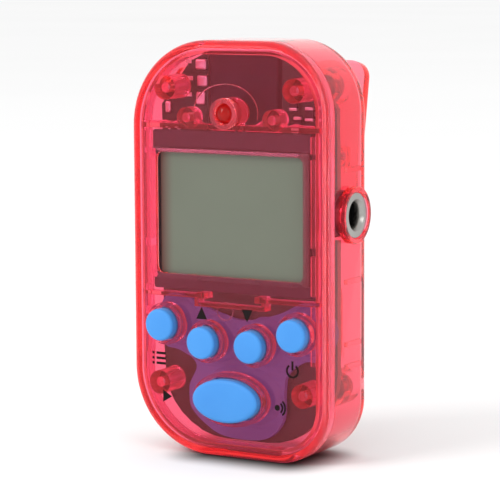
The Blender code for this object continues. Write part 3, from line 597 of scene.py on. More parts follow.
def studio_light():
    world = bpy.data.worlds.new("studio")
    world.use_nodes = True
    world.node_tree.nodes["Background"].inputs["Color"].default_value = (1.0, 1.0, 1.0, 1)
    bpy.context.scene.world = world
    for name, place, size, power in (
        ("key", (-0.35, -0.55, 0.45), 0.35, 2.5),
        ("fill", (0.6, -0.35, 0.35), 0.3, 0.6),
    ):
        light = bpy.data.lights.new(name, "AREA")
        light.size = size
        light.energy = power
        lamp = bpy.data.objects.new(name, light)
        COLLECTION.objects.link(lamp)
        lamp.matrix_world = facing(Vector(place) - CAMERA_TARGET, place)
    scene = bpy.context.scene
    scene.view_settings.view_transform = "Standard"
    scene.cycles.max_bounces = 24
    scene.cycles.glossy_bounces = 24
    scene.cycles.transmission_bounces = 24
    scene.cycles.diffuse_bounces = 8


# The case


def front_shell():
    shell = tray("front_shell", FRONT_Y, PARTING_Y + GAP - SEAM, FRONT_ROUND)
    root, inset = FRONT_INNER_Y - SINK, WALL + GAP
    joined = [slab("lip", [case_outline(inset), case_outline(inset + LIP_THICKNESS)], root, LIP_END_Y)]
    for screw in SCREWS:
        joined.append(post("boss", FRONT_BOSS_RADIUS, screw.x, screw.z, root, BOARD_LOW.y - GAP))
    for side in (-1, 1):
        joined.append(post("peg", PEG_RADIUS, side * PEG_X, PEG_Z, root, PEG_END_Y))
    rim = 0.35 * MM
    collar = [(0, 0)] + arc(COLLAR_RADIUS - rim, -rim, rim, 90, 0)
    collar += [(COLLAR_RADIUS, COLLAR_FRONT_Y - COLLAR_END_Y), (0, COLLAR_FRONT_Y - COLLAR_END_Y)]
    joined.append(turned("collar", collar, facing((0, -1, 0), (0, COLLAR_FRONT_Y, LAMP_Z))))
    ring = BUTTON_RADIUS + GAP + GUIDE_WALL
    for place in BUTTONS.values():
        joined.append(post("guide", ring, place.x, place.z, root, GUIDE_END_Y))
    grow = GAP + GUIDE_WALL
    outline = oval_outline(0, TAP_CENTRE.z, TAP_HALF_WIDTH + grow, TAP_HALF_HEIGHT + grow)
    joined.append(slab("guide_tap", [outline], root, GUIDE_END_Y))
    joined += face_ribs(root)
    combined(shell, "UNION", joined)

    out, past_guide = FRONT_Y - BEYOND, GUIDE_END_Y + BEYOND
    window = rounded_outline(WINDOW_HALF_WIDTH, WINDOW_LOW, WINDOW_HIGH, WINDOW_CORNER, 8)
    cuts = [slab("window", [window], out, FRONT_INNER_Y + BEYOND), window_chamfer(window)]
    grow, lip = GAP * 0.8, 0.22 * MM
    for place in BUTTONS.values():
        cuts.append(flared_hole(place.x, place.z, BUTTON_RADIUS + grow, lip, past_guide))
    outline = oval_outline(0, TAP_CENTRE.z, TAP_HALF_WIDTH + grow, TAP_HALF_HEIGHT + grow)
    cuts.append(slab("hole_tap", [outline], out, past_guide))
    hole = LAMP_RADIUS + 0.12 * MM
    cuts.append(post("hole_lamp", hole, 0, LAMP_Z, COLLAR_FRONT_Y - BEYOND, COLLAR_END_Y + BEYOND))
    bore_start = FRONT_INNER_Y + 0.2 * MM
    for side in (-1, 1):
        cuts.append(post("peg_bore", PEG_BORE, side * PEG_X, PEG_Z, bore_start, PEG_BORE_END_Y, 32))
    for screw in SCREWS:
        cuts.append(post("pilot", PILOT_HOLE, screw.x, screw.z, PILOT_FRONT_Y, 0, 24))
    combined(shell, "DIFFERENCE", cuts)
    smooth(shell)
    dress(shell, FRONT_RED, ["front_cover"])


def face_ribs(root):
    """The ribs behind the front face that hold the display, and the moulding marks on it."""
    rib = 0.7 * MM
    reach = HALF_WIDTH - WALL - 0.5 * MM
    end = GLASS_HIGH.y - 0.8 * MM
    top = GLASS_HIGH.z + GAP
    ribs = [box("upper_rib", (-reach, root, top), (reach, end, top + rib))]
    latch, drop = 5.3 * MM, 1.2 * MM
    low = GLASS_LOW.z - GAP - rib
    for side in (-1, 1):
        inner, outer = sorted((side * latch, side * reach))
        ribs.append(box("lower_rib", (inner, root, low), (outer, end, low + rib * 0.8)))
        inner, outer = sorted((side * latch, side * (latch + rib * 0.8)))
        ribs.append(box("latch_side", (inner, root, low - drop), (outer, end, low + rib * 0.6)))
        inner, outer = sorted((side * (latch + 0.2 * MM), side * (latch - 1.1 * MM)))
        ribs.append(box("latch_pad", (inner, root, low - 0.1 * MM), (outer, end + 0.5 * MM, low + 0.8 * MM)))
        inner, outer = sorted((side * 13.35 * MM, side * 14.1 * MM))
        for bottom, height in ((14.4, 5.6), (21.2, 2.2), (24.4, 5.6), (31.2, 12.4), (44.4, 2.4)):
            high = (bottom + height) * MM
            ribs.append(box("rail", (inner, root, bottom * MM), (outer, end - 1.3 * MM, high)))
        for wave in (
            ((7.1, 48.9), (8.6, 48.2), (9.6, 47.9), (10.8, 48.2), (12.0, 48.0), (13.6, 48.0)),
            ((7.1, 48.9), (5.6, 48.6), (4.4, 47.9), (3.2, 47.8)),
        ):
            path = [(side * x * MM, FRONT_INNER_Y + 0.5 * MM, z * MM) for x, z in wave]
            ribs.append(wire("wave", path, 0.32 * MM))
    ribs.append(box("latch_bar", (-latch, root, low - drop), (latch, end, low - drop + rib * 0.8)))
    ring = oval_outline(-0.7 * MM, 21.3 * MM, 1.3 * MM, 1.3 * MM, 40)
    ribs.append(wire("ejector_mark", [(x, FRONT_INNER_Y, z) for x, z in ring], 0.07 * MM, cyclic=True))
    halo_y, halo_z = FRONT_Y + 0.02 * MM, LAMP_Z + 0.1 * MM
    halo = [(x * 5.3 * MM, halo_y, halo_z + z * 4.1 * MM) for x, z in arc(0, 0, 1, -12, 192, 48)]
    ribs.append(wire("lamp_halo", halo, 0.1 * MM))
    return ribs


def window_chamfer(window):
    """A cutter that flares at 45 degrees towards the front."""
    flare = WINDOW_CHAMFER + 0.4 * MM
    front = FRONT_Y - 0.4 * MM
    centre_z = (WINDOW_LOW + WINDOW_HIGH) / 2
    half_height = (WINDOW_HIGH - WINDOW_LOW) / 2
    bm = bmesh.new()
    face = bm.faces.new([bm.verts.new((x, front + flare, z)) for x, z in window])
    grown = bmesh.ops.extrude_face_region(bm, geom=[face])
    for vert in (item for item in grown["geom"] if isinstance(item, bmesh.types.BMVert)):
        vert.co.x *= 1 + flare / WINDOW_HALF_WIDTH
        vert.co.z = centre_z + (vert.co.z - centre_z) * (1 + flare / half_height)
        vert.co.y = front
    bmesh.ops.recalc_face_normals(bm, faces=bm.faces)
    return mesh_object("window_chamfer", bm)


def flared_hole(x, z, radius, lip, end_y):
    """A cutter for a round hole with a rounded mouth at the front face."""
    profile = [(0, BEYOND), (radius + lip, BEYOND)] + arc(radius + lip, -lip, lip, 90, 180)
    profile += [(radius, FRONT_Y - end_y), (0, FRONT_Y - end_y)]
    return turned("hole", profile, facing((0, -1, 0), (x, FRONT_Y, z)))


def rear_shell():
    shell = tray("rear_shell", REAR_Y, PARTING_Y + GAP, REAR_ROUND)
    root = REAR_INNER_Y + SINK
    well = rounded_outline(WELL_HALF_WIDTH, WELL_LOW, WELL_HIGH, WELL_CORNER)
    low, high = WELL_LOW - WELL_WALL, WELL_HIGH + WELL_WALL
    outer = rounded_outline(WELL_HALF_WIDTH + WELL_WALL, low, high, WELL_CORNER + WELL_WALL)
    joined = [slab("well", [outer], 1.1 * MM, root)]
    for screw in SCREWS:
        joined.append(post("boss", REAR_BOSS_RADIUS, screw.x, screw.z, BOARD_HIGH.y + GAP, root))
    rim = 0.2 * MM
    base_x = HALF_WIDTH - WALL + SINK
    length = JACK_BOSS_X - base_x
    mouth = JACK_FLANGE + 0.1 * MM
    profile = [(0, length - rim), (mouth, length - rim)] + arc(mouth + rim, length - rim, rim, 180, 90)
    profile += arc(JACK_BOSS - rim, length - rim, rim, 90, 0) + [(JACK_BOSS, 0), (0, 0)]
    joined.append(turned("jack_boss", profile, facing((1, 0, 0), (base_x, *JACK.yz))))
    for side in (-1, 1):
        left, right = span(side * LUG_X, LUG_THICKNESS)
        joined.append(axle("lug", LUG_RADIUS, left, right, CLIP_PIVOT.yz))
        low = (left, REAR_Y - SINK, CLIP_PIVOT.z - LUG_RADIUS)
        joined.append(box("lug_foot", low, (right, CLIP_PIVOT.y, CLIP_PIVOT.z + LUG_RADIUS)))
        inner, outer = sorted((side * 14.4 * MM, side * base_x))
        for z in (13.2, 16.4, 25.4, 41.4):
            joined.append(box("wall_rib", (inner, 0.8 * MM, z * MM), (outer, root, (z + 0.7) * MM)))
    combined(shell, "UNION", joined)

    out = REAR_Y + BEYOND
    cuts = [slab("well_hole", [well], 0.5 * MM, out)]
    head, seat = SCREW_HEAD_RADIUS + GAP, SCREW_HEAD_FRONT_Y - GAP
    for screw in SCREWS:
        cuts.append(post("screw_hole", SCREW_HOLE, screw.x, screw.z, 0, out, 32))
        cuts.append(post("counterbore", head, screw.x, screw.z, seat, out, 48))
    right = JACK_BOSS_X + BEYOND
    cuts.append(axle("jack_hole", JACK_SHANK + 0.15 * MM, HALF_WIDTH - 2.2 * MM, right, JACK.yz))
    cuts.append(axle("jack_seat", JACK_FLANGE + 0.1 * MM, JACK_FLANGE_X - 0.1 * MM, right, JACK.yz, 96))
    reach = LUG_X + LUG_THICKNESS
    cuts.append(axle("pin_hole", PIN_HOLE, -reach, reach, CLIP_PIVOT.yz, 32))
    for side in (-1, 1):
        x, half = side * HOOK_X, HOOK_HALF_WIDTH + GAP
        low = (x - half, HOOK_FRONT_Y - 1.2 * MM, WELL_LOW - 2 * MM)
        cuts.append(box("hook_slot", low, (x + half, HOOK_BACK_Y + GAP, WELL_LOW + 3 * MM)))
    for column in (-1, 0, 1):
        slot = rounded_outline(0.5 * MM, 50 * MM, 55 * MM, 0.49 * MM, 8, column * 2.2 * MM)
        cuts.append(slab("sound_slot", [slot], REAR_INNER_Y - 0.5 * MM, out))
    combined(shell, "DIFFERENCE", cuts)
    smooth(shell)
    dress(shell, CLEAR_RED, ["rear_cover"])


def door_panel():
    outline = rounded_outline(WELL_HALF_WIDTH - GAP, WELL_LOW + GAP, WELL_HIGH - GAP, WELL_CORNER - GAP)
    door = bevelled(slab("door_panel", [outline], REAR_INNER_Y, REAR_Y), 0.15 * MM)
    edge = WELL_LOW + GAP
    joined = []
    for side in (-1, 1):
        left, right = span(side * HOOK_X, 2 * HOOK_HALF_WIDTH)
        stem_high = edge + 0.8 * MM
        low = (left, HOOK_FRONT_Y, edge + 0.2 * MM)
        joined.append(box("hook_stem", low, (right, REAR_INNER_Y + SINK, stem_high)))
        low = (left, HOOK_FRONT_Y, edge - 1.4 * MM)
        joined.append(box("hook", low, (right, HOOK_BACK_Y, stem_high - 0.05 * MM)))
    combined(door, "UNION", joined)
    notch = slab("notch", [oval_outline(0, WELL_HIGH, 3 * MM, 1.6 * MM)], REAR_Y - 0.6 * MM, REAR_Y + BEYOND)
    combined(door, "DIFFERENCE", [notch])
    smooth(door)
    dress(door, CLEAR_RED, ["battery_door"], "door")


def clip_plate():
    outline = rounded_outline(CLIP_HALF_WIDTH, -CLIP_DOWN, CLIP_UP, CLIP_CORNER)
    plate = bevelled(slab("clip_plate", [outline], CLIP_INNER, CLIP_INNER + CLIP_THICKNESS), 0.35 * MM, 4)
    reach = CLIP_HALF_WIDTH - CLIP_CORNER
    jaw_z, jaw_y = -CLIP_DOWN + JAW_RADIUS + 0.2 * MM, CLIP_INNER + 0.1 * MM
    joined = [axle("jaw", JAW_RADIUS, -reach, reach, (jaw_y, jaw_z))]
    for side in (-1, 1):
        left, right = span(side * EAR_X, EAR_THICKNESS)
        joined.append(axle("ear", EAR_RADIUS, left, right, (0, 0)))
        joined.append(box("ear_web", (left, 0, -EAR_RADIUS), (right, CLIP_INNER + SINK, EAR_RADIUS)))
    combined(plate, "UNION", joined)
    combined(plate, "DIFFERENCE", [axle("hole", PIN_HOLE, -EAR_X * 1.3, EAR_X * 1.3, (0, 0), 32)])
    plate.matrix_world = CLIP_FRAME
    smooth(modified_mesh(plate))
    dress(plate, CLEAR_RED, ["clip_lever"], "clip")


def rounded_disc(radius, top, bottom, rounding, steps=6):
    """The profile of a disc from the axis over a rounded upper edge and down to the axis again."""
    edge = arc(radius - rounding, top - rounding, rounding, 90, 0, steps)
    return [(0, top)] + edge + [(radius, bottom), (0, bottom)]


def round_box(name, low, high, width, segments=3):
    return bevelled(box(name, low, high), width, segments)


def keys():
    silicone = varied(
        "blue_silicone", (0.030, 0.24, 0.66), (0.040, 0.27, 0.70), (0.5, 0.62), bump_strength=0.15
    )
    principled(silicone).inputs["Sheen Weight"].default_value = 0.15
    height = BUTTON_BACK_Y - BUTTON_TOP_Y
    dome, edge, foot = 0.12 * MM, 0.42 * MM, 0.3 * MM
    profile = [((BUTTON_RADIUS - edge) * step / 6, -dome * (step / 6) ** 2) for step in range(6)]
    profile += arc(BUTTON_RADIUS - edge, -dome - edge, edge, 90, 0, 8)
    profile += [(BUTTON_RADIUS, foot - height), (BUTTON_RADIUS - foot, -height), (0, -height)]
    for name, place in BUTTONS.items():
        cap = turned(f"cap_{name}", profile, facing((0, -1, 0), (place.x, BUTTON_TOP_Y, place.z)))
        dress(smooth(cap, 40), silicone, [f"button_{name}"], f"{name}_key")
    tap = turned("cap_tap", profile, Matrix.Identity(4))
    stretch_x = TAP_HALF_WIDTH - BUTTON_RADIUS
    stretch_z = TAP_HALF_HEIGHT - BUTTON_RADIUS
    for vert in tap.data.vertices:
        reach = math.hypot(vert.co.x, vert.co.y)
        share = reach / BUTTON_RADIUS
        if reach > 0:
            cos, sin = vert.co.x / reach, vert.co.y / reach
            vert.co.x += stretch_x * share * cos
            vert.co.y += stretch_z * share * sin
    tap.data.transform(facing((0, -1, 0), (0, BUTTON_TOP_Y, TAP_CENTRE.z)))
    dress(smooth(tap, 40), silicone, ["button_tap"], "tap_key")

    sheet_silicone = varied(
        "sheet_silicone", (0.14, 0.29, 0.50), (0.16, 0.33, 0.55), (0.5, 0.6), bump_strength=0.15
    )
    # Painted glow: a faint purple emission, though the sheet is no lamp.
    principled(sheet_silicone).inputs["Emission Color"].default_value = (0.3, 0.15, 1.0, 1)
    principled(sheet_silicone).inputs["Emission Strength"].default_value = 0.08
    low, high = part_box("keypad_membrane")
    outlines, webs = [smooth_closed(SHEET_OUTLINE)], []
    keys_half = {name: (BUTTON_RADIUS, BUTTON_RADIUS) for name in BUTTONS}
    keys_half["tap"] = (TAP_HALF_WIDTH, TAP_HALF_HEIGHT)
    for name, (half_width, half_height) in keys_half.items():
        place = middle(f"button_{name}")
        pill_low, pill_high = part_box(f"contact_pill_{name}")
        pill = (pill_high.x - pill_low.x) / 2 + GAP
        outlines.append(oval_outline(place.x, place.z, pill, pill))
        webs.append(skirt(place.x, place.z, half_width, half_height, low.y))
    sheet = slab("keypad_sheet", outlines, low.y, high.y)
    combined(sheet, "UNION", webs)
    dress(smooth(sheet, 40), sheet_silicone, ["keypad_membrane"])


def skirt(x, z, half_width, half_height, sheet_y):
    """The sloping web that rises from the keypad sheet round a button."""
    bm = bmesh.new()
    rings = []
    for out, rise in ((1.5, 0.2), (1.3, 0.0), (0.55, -0.55), (0.35, -0.55), (0.35, 0.2)):
        outline = oval_outline(x, z, half_width + out * MM, half_height + out * MM)
        rings.append([bm.verts.new((px, sheet_y + rise * MM, pz)) for px, pz in outline])
    rings.append(rings[0])
    for first, second in zip(rings, rings[1:]):
        for index in range(len(first)):
            after = (index + 1) % len(first)
            bm.faces.new((first[index], first[after], second[after], second[index]))
    bmesh.ops.recalc_face_normals(bm, faces=bm.faces)
    return mesh_object("skirt", bm)


def smooth_closed(points, steps=6):
    """A smooth closed curve through the points (Catmull-Rom)."""
    curve = []
    count = len(points)
    for index in range(count):
        before, start, end, after = (Vector(points[(index + offset) % count]) for offset in (-1, 0, 1, 2))
        for step in range(steps):
            t = step / steps
            bend = (2 * before - 5 * start + 4 * end - after) * t**2
            twist = (3 * start - before - 3 * end + after) * t**3
            curve.append(0.5 * (2 * start + (end - before) * t + bend + twist))
    return [tuple(point) for point in curve]


def marks():
    """Plain printed signs beside the buttons: arrows, a list, the power sign, play and a tap."""
    ink = varied("ink", (0.008, 0.005, 0.005), (0.014, 0.009, 0.009), (0.7, 0.8))
    principled(ink).inputs["Specular IOR Level"].default_value = 0.1
    back, front = FRONT_Y + 0.05 * MM, FRONT_Y - 0.02 * MM

    def put(name, outlines):
        obj = slab(name, [[(x * MM, z * MM) for x, z in outline] for outline in outlines], front, back)
        dress(obj, ink)

    put("mark_up", [[(-5.1, 20.0), (-3.3, 20.0), (-4.2, 21.8)]])
    put("mark_down", [[(2.5, 21.9), (3.4, 20.1), (4.3, 21.9)]])
    for row in range(3):
        z = 14.3 - 0.75 * row
        put(f"mark_list_{row}", [[(-12.0, z), (-10.4, z), (-10.4, z + 0.36), (-12.0, z + 0.36)]])
        put(f"mark_dot_{row}", [[(-12.7, z), (-12.34, z), (-12.34, z + 0.36), (-12.7, z + 0.36)]])
    ring = arc(10.8, 13.7, 1.05, 125, 415, 30) + arc(10.8, 13.7, 0.75, 415, 125, 30)
    put("mark_power", [ring])
    put("mark_power_bar", [[(10.64, 13.8), (10.96, 13.8), (10.96, 15.1), (10.64, 15.1)]])
    put("mark_play", [[(-10.9, 7.3), (-9.4, 8.2), (-10.9, 9.1)]])
    put("mark_tap", [arc(8.3, 8.2, 0.42, 0, 350, 20)])
    for index, radius in enumerate((0.85, 1.3)):
        wave = arc(8.3, 8.2, radius + 0.14, -50, 50, 12) + arc(8.3, 8.2, radius - 0.14, 50, -50, 12)
        put(f"mark_tap_wave_{index}", [wave])


def display():
    green, green_end = (0.127, 0.140, 0.106), (0.134, 0.148, 0.112)
    film = varied("display_film", green, green_end, (0.3, 0.4), grain=1500.0, bump_strength=0.03)
    tree, shader = film.node_tree, principled(film)
    # Painted shade: a red-brown shadow fades in from the window's left edge, with a black band at the very
    # edge, standing in for the window edge's shadow on the sunken display.
    x, edge = axes(tree)["X"], 0.3 * MM - WINDOW_HALF_WIDTH
    shade = spread(tree, x, 0.35, 1.0, edge, edge + 2.3 * MM, "SMOOTHSTEP")
    right_of_painted_band = maths(tree, "GREATER_THAN", x, edge)
    tone = shader.inputs["Base Color"].links[0].from_socket
    for colour, share in (((0.10, 0.012, 0.012, 1), shade), ((0.012, 0.010, 0.010, 1), right_of_painted_band)):
        tone = mixed(tree, share, colour, tone)
    tree.links.new(tone, shader.inputs["Base Color"])
    shader.inputs["Specular IOR Level"].default_value = 0.3
    dark = varied("display_edge", (0.020, 0.014, 0.016), (0.03, 0.02, 0.022), (0.1, 0.2))
    for node, material in (("lcd_polarizer", film), ("lcd_glass", dark), ("lcd_reflector", film)):
        paint(node, material)
        soften(node, 0.04 * MM)


def lamp():
    red = clear_plastic(
        "lamp_red",
        tint=(0.95, 0.10, 0.08),
        absorbed=(0.9, 0.1, 0.05),
        density=400.0,
        haze=(0.55, 0.008, 0.006),
        haze_share=(0.6, 0.6),
        sheen=(1.0, 1.0, 1.0),
        painted_glow=(0.10, 0.10),
    )
    depth = LAMP_BACK_Y - LAMP_FRONT_Y
    flange, foot = 1.9 * MM, 0.6 * MM
    profile = arc(0, -LAMP_RADIUS, LAMP_RADIUS, 90, 0, 16)
    profile += [(LAMP_RADIUS, foot - depth), (flange, foot - depth), (flange, -depth), (0, -depth)]
    lens = turned("lamp_lens", profile, facing((0, -1, 0), (0, LAMP_FRONT_Y, LAMP_Z)))
    dress(smooth(lens), red, ["led_body"])
    metal = varied("lamp_frame", (0.62, 0.60, 0.58), (0.7, 0.68, 0.66), (0.25, 0.4), 1.0)
    bowl = ((0, -0.25), (0.3, -0.25), (0.62, 0.1), (0.72, 0.1), (0.45, -0.5), (0.3, -0.7))
    cup = [(r * MM, h * MM) for r, h in (*bowl, (0.25, -2.2), (0, -2.2))]
    anvil = turned("lamp_cup", cup, facing((0, -1, 0), (0, LAMP_FRONT_Y + 1.9 * MM, LAMP_Z)), 32)
    dress(smooth(anvil), metal)
    for side, name in ((-1, "led_lead_left"), (1, "led_lead_right")):
        low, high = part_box(name)
        x, radius = (low.x + high.x) / 2, (high.x - low.x) / 2
        bend_y = -1.85 * MM
        path = [(x, low.y, LAMP_Z), (x, bend_y - 0.3 * MM, LAMP_Z), (x, bend_y, LAMP_Z - 0.35 * MM)]
        path += [(x, bend_y, 46.5 * MM), (x, bend_y + 0.3 * MM, 46.1 * MM), (x, high.y, low.z + radius)]
        lead = wire(f"lead_{side}", path, radius * 0.96)
        dress(smooth(lead, 40), metal, [name])


def board():
    mask = varied("board", (0.016, 0.056, 0.022), (0.020, 0.068, 0.027), (0.28, 0.42))
    tree, shader = mask.node_tree, principled(mask)
    turn = (math.radians(90), 0, 0)
    flat = add_node(tree, "Mapping", {"Vector": coordinates(tree), "Rotation": turn})
    inputs = {"Vector": flat.outputs["Vector"], "Scale": 190.0, "Mortar Size": 0.02, "Brick Width": 0.9}
    inputs |= {"Color1": (0, 0, 0, 1), "Color2": (0, 0, 0, 1), "Mortar": (1, 1, 1, 1)}
    traces = add_node(tree, "TexBrick", inputs, offset=0.37).outputs["Color"]
    tone = mixed(tree, traces, shader.inputs["Base Color"].links[0].from_socket, (0.028, 0.080, 0.034, 1))
    flatness = maths(tree, "ABSOLUTE", axes(tree, "Normal")["Y"])
    tree.links.new(mixed(tree, flatness, (0.42, 0.36, 0.20, 1), tone), shader.inputs["Base Color"])
    paint("circuit_board", mask)
    soften("circuit_board", 0.06 * MM)

    solder = varied("solder", (0.66, 0.65, 0.62), (0.86, 0.85, 0.82), (0.22, 0.45), 1.0, bump_strength=0.9)
    big = ((-7.2, 56.2, 1.9, 1.5), (-7.0, 53.9, 1.8, 1.6), (-7.3, 51.4, 1.6, 1.9), (-12.8, 50.0, 1.0, 1.7))
    for index, (x, z, wide, tall) in enumerate(big):
        pad = board_lump(f"solder_{index}", x, z, wide, tall, 0.4 * MM, 0.2 * MM, 0.3 * MM, 5)
        dress(smooth(pad, 50), solder)
    for index, (x, z) in enumerate(((-9.4, 56.6), (-9.2, 54.2), (-9.4, 51.9), (10.9, 52.0), (11.4, 49.6))):
        pad = board_lump(f"pad_{index}", x, z, 1.0, 0.6, 0.06 * MM, 0.1 * MM, 0.03 * MM)
        dress(smooth(pad), solder)

    resistor = varied("resistor_black", (0.015, 0.014, 0.015), (0.025, 0.022, 0.022), (0.3, 0.45))
    capacitor = varied("capacitor_tan", (0.38, 0.20, 0.09), (0.44, 0.25, 0.12), (0.4, 0.5))
    for node in frame["nodes"]:
        if node.startswith(("resistor", "capacitor")):
            chip(node, resistor if node.startswith("resistor") else capacitor, solder)

    epoxy = varied("black_epoxy", (0.012, 0.012, 0.013), (0.02, 0.02, 0.02), (0.2, 0.35))
    low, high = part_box("controller_chip")
    half, rise = (high.x - low.x) / 2, high.y - low.y
    blob = [(half * r, rise * h) for h, r in arc(0, 0, 1, 0, 90, 14)] + [(0, 0)]
    centre = middle("controller_chip")
    drop = turned("epoxy_drop", blob, facing((0, -1, 0), (centre.x, high.y, centre.z)), 48)
    dress(smooth(drop, 50), epoxy, ["controller_chip"])

    metal = varied("crystal_can", (0.60, 0.59, 0.57), (0.68, 0.67, 0.65), (0.2, 0.35), 1.0)
    low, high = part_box("clock_crystal")
    centre = middle("clock_crystal")
    can = rounded_disc((high.x - low.x) / 2, high.z - low.z, 0, 0.3 * MM)
    crystal = turned("crystal", can, Matrix.Translation((centre.x, centre.y, low.z)), 40)
    dress(smooth(crystal, 40), metal, ["clock_crystal"])


def board_lump(name, x, z, wide, tall, raised, sunk, rounding, segments=3):
    """A rounded box in the board's front. Its place and its width and height are in millimetres."""
    low = ((x - wide / 2) * MM, BOARD_LOW.y - raised, (z - tall / 2) * MM)
    high = ((x + wide / 2) * MM, BOARD_LOW.y + sunk, (z + tall / 2) * MM)
    return round_box(name, low, high, rounding, segments)


def chip(node, body, ends):
    """A surface-mounted part: a body with a metal cap on each end."""
    low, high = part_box(node)
    size = high - low
    along = 0 if size.x > size.z else 2
    cap = size[along] * 0.22
    inner_low, inner_high = low.copy(), high.copy()
    inner_low[along] += cap * 0.8
    inner_high[along] -= cap * 0.8
    inner_low.y += 0.03 * MM
    middle_part = round_box(f"{node}_body", inner_low, inner_high, 0.05 * MM)
    dress(smooth(middle_part), body, [node])
    for index, edge in enumerate((low[along], high[along] - cap)):
        cap_low, cap_high = low.copy(), high.copy()
        cap_low[along], cap_high[along] = edge, edge + cap
        end = round_box(f"{node}_end_{index}", cap_low, cap_high, 0.07 * MM)
        dress(smooth(end), ends, [node])


def sounder():
    black = varied("sounder_black", (0.010, 0.008, 0.009), (0.018, 0.014, 0.015), (0.35, 0.5))
    low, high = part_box("buzzer")
    centre = middle("buzzer")
    body = round_box("sounder_body", low, high, 0.5 * MM, 5)
    hole = post("hole", 1.1 * MM, centre.x, centre.z, high.y - 0.8 * MM, high.y + BEYOND, 48)
    ring = oval_outline(centre.x, centre.z, 4.4 * MM, 4.4 * MM, 96)
    groove = wire("groove", [(x, high.y, z) for x, z in ring], 0.12 * MM, cyclic=True)
    combined(body, "DIFFERENCE", [hole, groove])
    dress(smooth(body), black, ["buzzer"])


def jack():
    metal = varied("nickel", (0.34, 0.33, 0.31), (0.44, 0.43, 0.41), (0.24, 0.36), 1.0, bump_strength=0.1)
    chamfer, flare, edge = 0.6 * MM, 0.45 * MM, 0.12 * MM
    length, shoulder = JACK_FACE_X - JACK_START_X, JACK_FLANGE_X - JACK_START_X
    liner, nose = JACK_BORE + 0.35 * MM, length - chamfer - 0.7 * MM
    outwards = facing((1, 0, 0), (JACK_START_X, *JACK.yz))
    profile = [(JACK_BORE + flare, length)] + arc(JACK_FLANGE - edge, length - edge, edge, 90, 0, 4)
    profile += [(JACK_FLANGE, shoulder), (JACK_SHANK, shoulder), (JACK_SHANK, 0), (liner, 0), (liner, nose)]
    profile += [(JACK_BORE, nose), (JACK_BORE, length - chamfer)]
    profile.append((JACK_BORE + flare * 0.3, length - chamfer * 0.55))
    sleeve = turned("socket_sleeve", profile, outwards, 96, closed=True)
    dress(smooth(sleeve), metal, ["jack_sleeve"])

    black = varied("socket_black", (0.004, 0.004, 0.004), (0.008, 0.008, 0.008), (0.4, 0.55))
    principled(black).inputs["Specular IOR Level"].default_value = 0.2
    low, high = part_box("jack_body")
    body = round_box("socket_body", low, high, 0.2 * MM)
    cuts = [axle("bore", JACK_BORE + 0.1 * MM, low.x + 1.2 * MM, high.x + BEYOND, JACK.yz)]
    slot_low, slot_high = Vector((6.4 * MM, -0.8 * MM, -1.1 * MM)), Vector((11.4 * MM, 0.8 * MM, 1.1 * MM))
    for z in (low.z, high.z):
        place = Vector((0, JACK.y, z))
        cuts.append(box("slot", place + slot_low, place + slot_high))
    combined(body, "DIFFERENCE", cuts)
    dress(smooth(body), black, ["jack_body"])
    tube = [(JACK_BORE, nose), (liner, nose), (liner, -GAP), (JACK_BORE, -GAP)]
    lining = turned("socket_nose", tube, outwards, 64, closed=True)
    dress(smooth(lining), black, ["jack_body"])

    bronze = varied("bronze", (0.62, 0.40, 0.16), (0.70, 0.47, 0.20), (0.2, 0.35), 1.0)
    for node, side in (("jack_spring_upper", 1), ("jack_spring_lower", -1)):
        low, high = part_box(node)
        z = (low.z + high.z) / 2
        arch = []
        for step in range(17):
            rise = 0.1 - 0.22 * math.sin(math.pi * step / 16)
            arch.append((low.x + (high.x - low.x) * step / 16, z + side * rise * MM))
        thick = 0.08 * MM
        strip = [(x, z + thick) for x, z in arch] + [(x, z - thick) for x, z in reversed(arch)]
        dress(smooth(slab(f"{node}_leaf", [strip], low.y, high.y)), bronze, [node])


def cross(centre, reach, width, depth):
    """Cutters for a cross in a face of constant Y. The sizes are half sizes."""
    bars = (Vector((reach, depth, width)), Vector((width, depth, reach)))
    return [box("cross", centre - half, centre + half) for half in bars]


def screws():
    steel = varied("steel", (0.42, 0.42, 0.43), (0.52, 0.52, 0.53), (0.22, 0.4), 1.0)
    for index, centre in enumerate(SCREWS, 1):
        low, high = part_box(f"case_screw_{index}")
        head, edge, core, crest, pitch = 1.2 * MM, 0.5 * MM, 0.52 * MM, 0.7 * MM, 0.5 * MM
        profile = [(0, 0)] + arc(SCREW_HEAD_RADIUS - edge, -edge, edge, 80, 0)
        profile += [(SCREW_HEAD_RADIUS, -head), (crest, -head)]
        depth = -head - 0.3 * MM
        tip = low.y - high.y + 0.9 * MM
        while depth > tip:
            profile += [(core, depth), (crest, depth - pitch * 0.4), (core, depth - pitch * 0.8)]
            depth -= pitch
        profile += [(core, tip - 0.1 * MM), (0, low.y - high.y)]
        top = Vector((centre.x, high.y, centre.z))
        screw = turned(f"screw_{index}", profile, facing((0, 1, 0), top), 40)
        combined(screw, "DIFFERENCE", cross(top, 1.0 * MM, 0.24 * MM, 0.55 * MM))
        dress(smooth(screw), steel, [f"case_screw_{index}"])


def battery():
    steel = varied("cell_steel", (0.60, 0.60, 0.59), (0.68, 0.68, 0.67), (0.18, 0.32), 1.0)
    low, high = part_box("coin_cell")
    radius, height = (high.x - low.x) / 2, high.y - low.y
    rim = 0.5 * MM
    profile = [(0, height)] + arc(radius - rim, height - rim, rim, 90, 0, 8)
    profile += [(radius, 0.45 * MM), (radius - 0.15 * MM, 0.3 * MM), (radius - 0.9 * MM, 0.3 * MM)]
    profile += [(radius - 1.0 * MM, 0.1 * MM), (radius - 1.3 * MM, 0), (0, 0)]
    cell = turned("cell", profile, facing((0, 1, 0), (CELL.x, low.y, CELL.z)), 96)
    face = Vector((CELL.x, high.y, CELL.z))
    combined(cell, "DIFFERENCE", cross(face, 1.5 * MM, 0.25 * MM, 0.08 * MM))
    dress(smooth(cell), steel, ["coin_cell"])


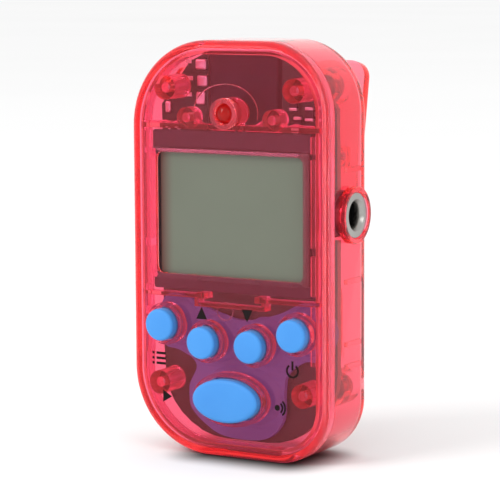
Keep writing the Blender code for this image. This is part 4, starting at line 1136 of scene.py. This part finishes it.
def clip_parts():
    steel = varied("spring_steel", (0.50, 0.50, 0.51), (0.60, 0.60, 0.61), (0.18, 0.3), 1.0)
    low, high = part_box("clip_pin")
    radius, length = (high.z - low.z) / 2, high.x - low.x
    edge = 0.15 * MM
    profile = [(0, length)] + arc(radius - edge, length - edge, edge, 90, 0, 5)
    profile += arc(radius - edge, edge, edge, 0, -90, 5) + [(0, 0)]
    pin = turned("pin", profile, facing((1, 0, 0), (low.x, *CLIP_PIVOT.yz)), 40)
    dress(smooth(pin), steel, ["clip_pin"])

    wire_radius, coil_radius, turns, per_turn = 0.2 * MM, 1.25 * MM, 6, 36
    half = turns * 2.6 * wire_radius / 2
    path = [Vector((-half - 0.25 * MM, REAR_Y + GAP + wire_radius - CLIP_PIVOT.y, 5 * MM))]
    steps = turns * per_turn
    for step in range(steps + 1):
        angle = math.pi + 2 * math.pi * step / per_turn
        x = -half + 2 * half * step / steps
        path.append(Vector((x, coil_radius * math.cos(angle), coil_radius * math.sin(angle))))
    last = Vector((half + 0.25 * MM, CLIP_INNER - GAP - 2 * wire_radius, 5 * MM))
    path.append(Vector((half + 0.1 * MM, -coil_radius * 0.4, coil_radius * 0.92)))
    path.append(Vector((half + 0.2 * MM, 0.2 * MM, coil_radius * 1.05)))
    path.append(Matrix.Rotation(-CLIP_LEAN, 4, "X") @ last)
    spring = wire("spring", [CLIP_PIVOT + place for place in path], wire_radius, resolution=4)
    smooth(spring, 50)
    spring.data.materials.append(steel)
    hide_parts("clip_spring")
    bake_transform(spring)


def hidden_parts():
    """Finishes for the small CAD nodes that are nearly or wholly hidden."""
    carbon = varied("carbon_rubber", (0.012, 0.012, 0.012), (0.02, 0.02, 0.02), (0.6, 0.75))
    pink = varied("pink_elastomer", (0.62, 0.30, 0.32), (0.70, 0.36, 0.38), (0.5, 0.6))
    strip = varied("contact_nickel", (0.60, 0.59, 0.56), (0.68, 0.67, 0.64), (0.2, 0.35), 1.0)
    for node in frame["nodes"]:
        if node.startswith("contact_pill"):
            paint(node, carbon)
        elif node.startswith("battery_contact"):
            paint(node, strip)
    paint("zebra_strip", pink)
    for node in ("zebra_strip", "battery_contact_negative", "battery_contact_positive"):
        soften(node, 0.05 * MM)


camera_view()
pale_floor()
studio_light()
front_shell()
rear_shell()
door_panel()
clip_plate()
keys()
marks()
display()
lamp()
board()
sounder()
jack()
screws()
battery()
clip_parts()
hidden_parts()
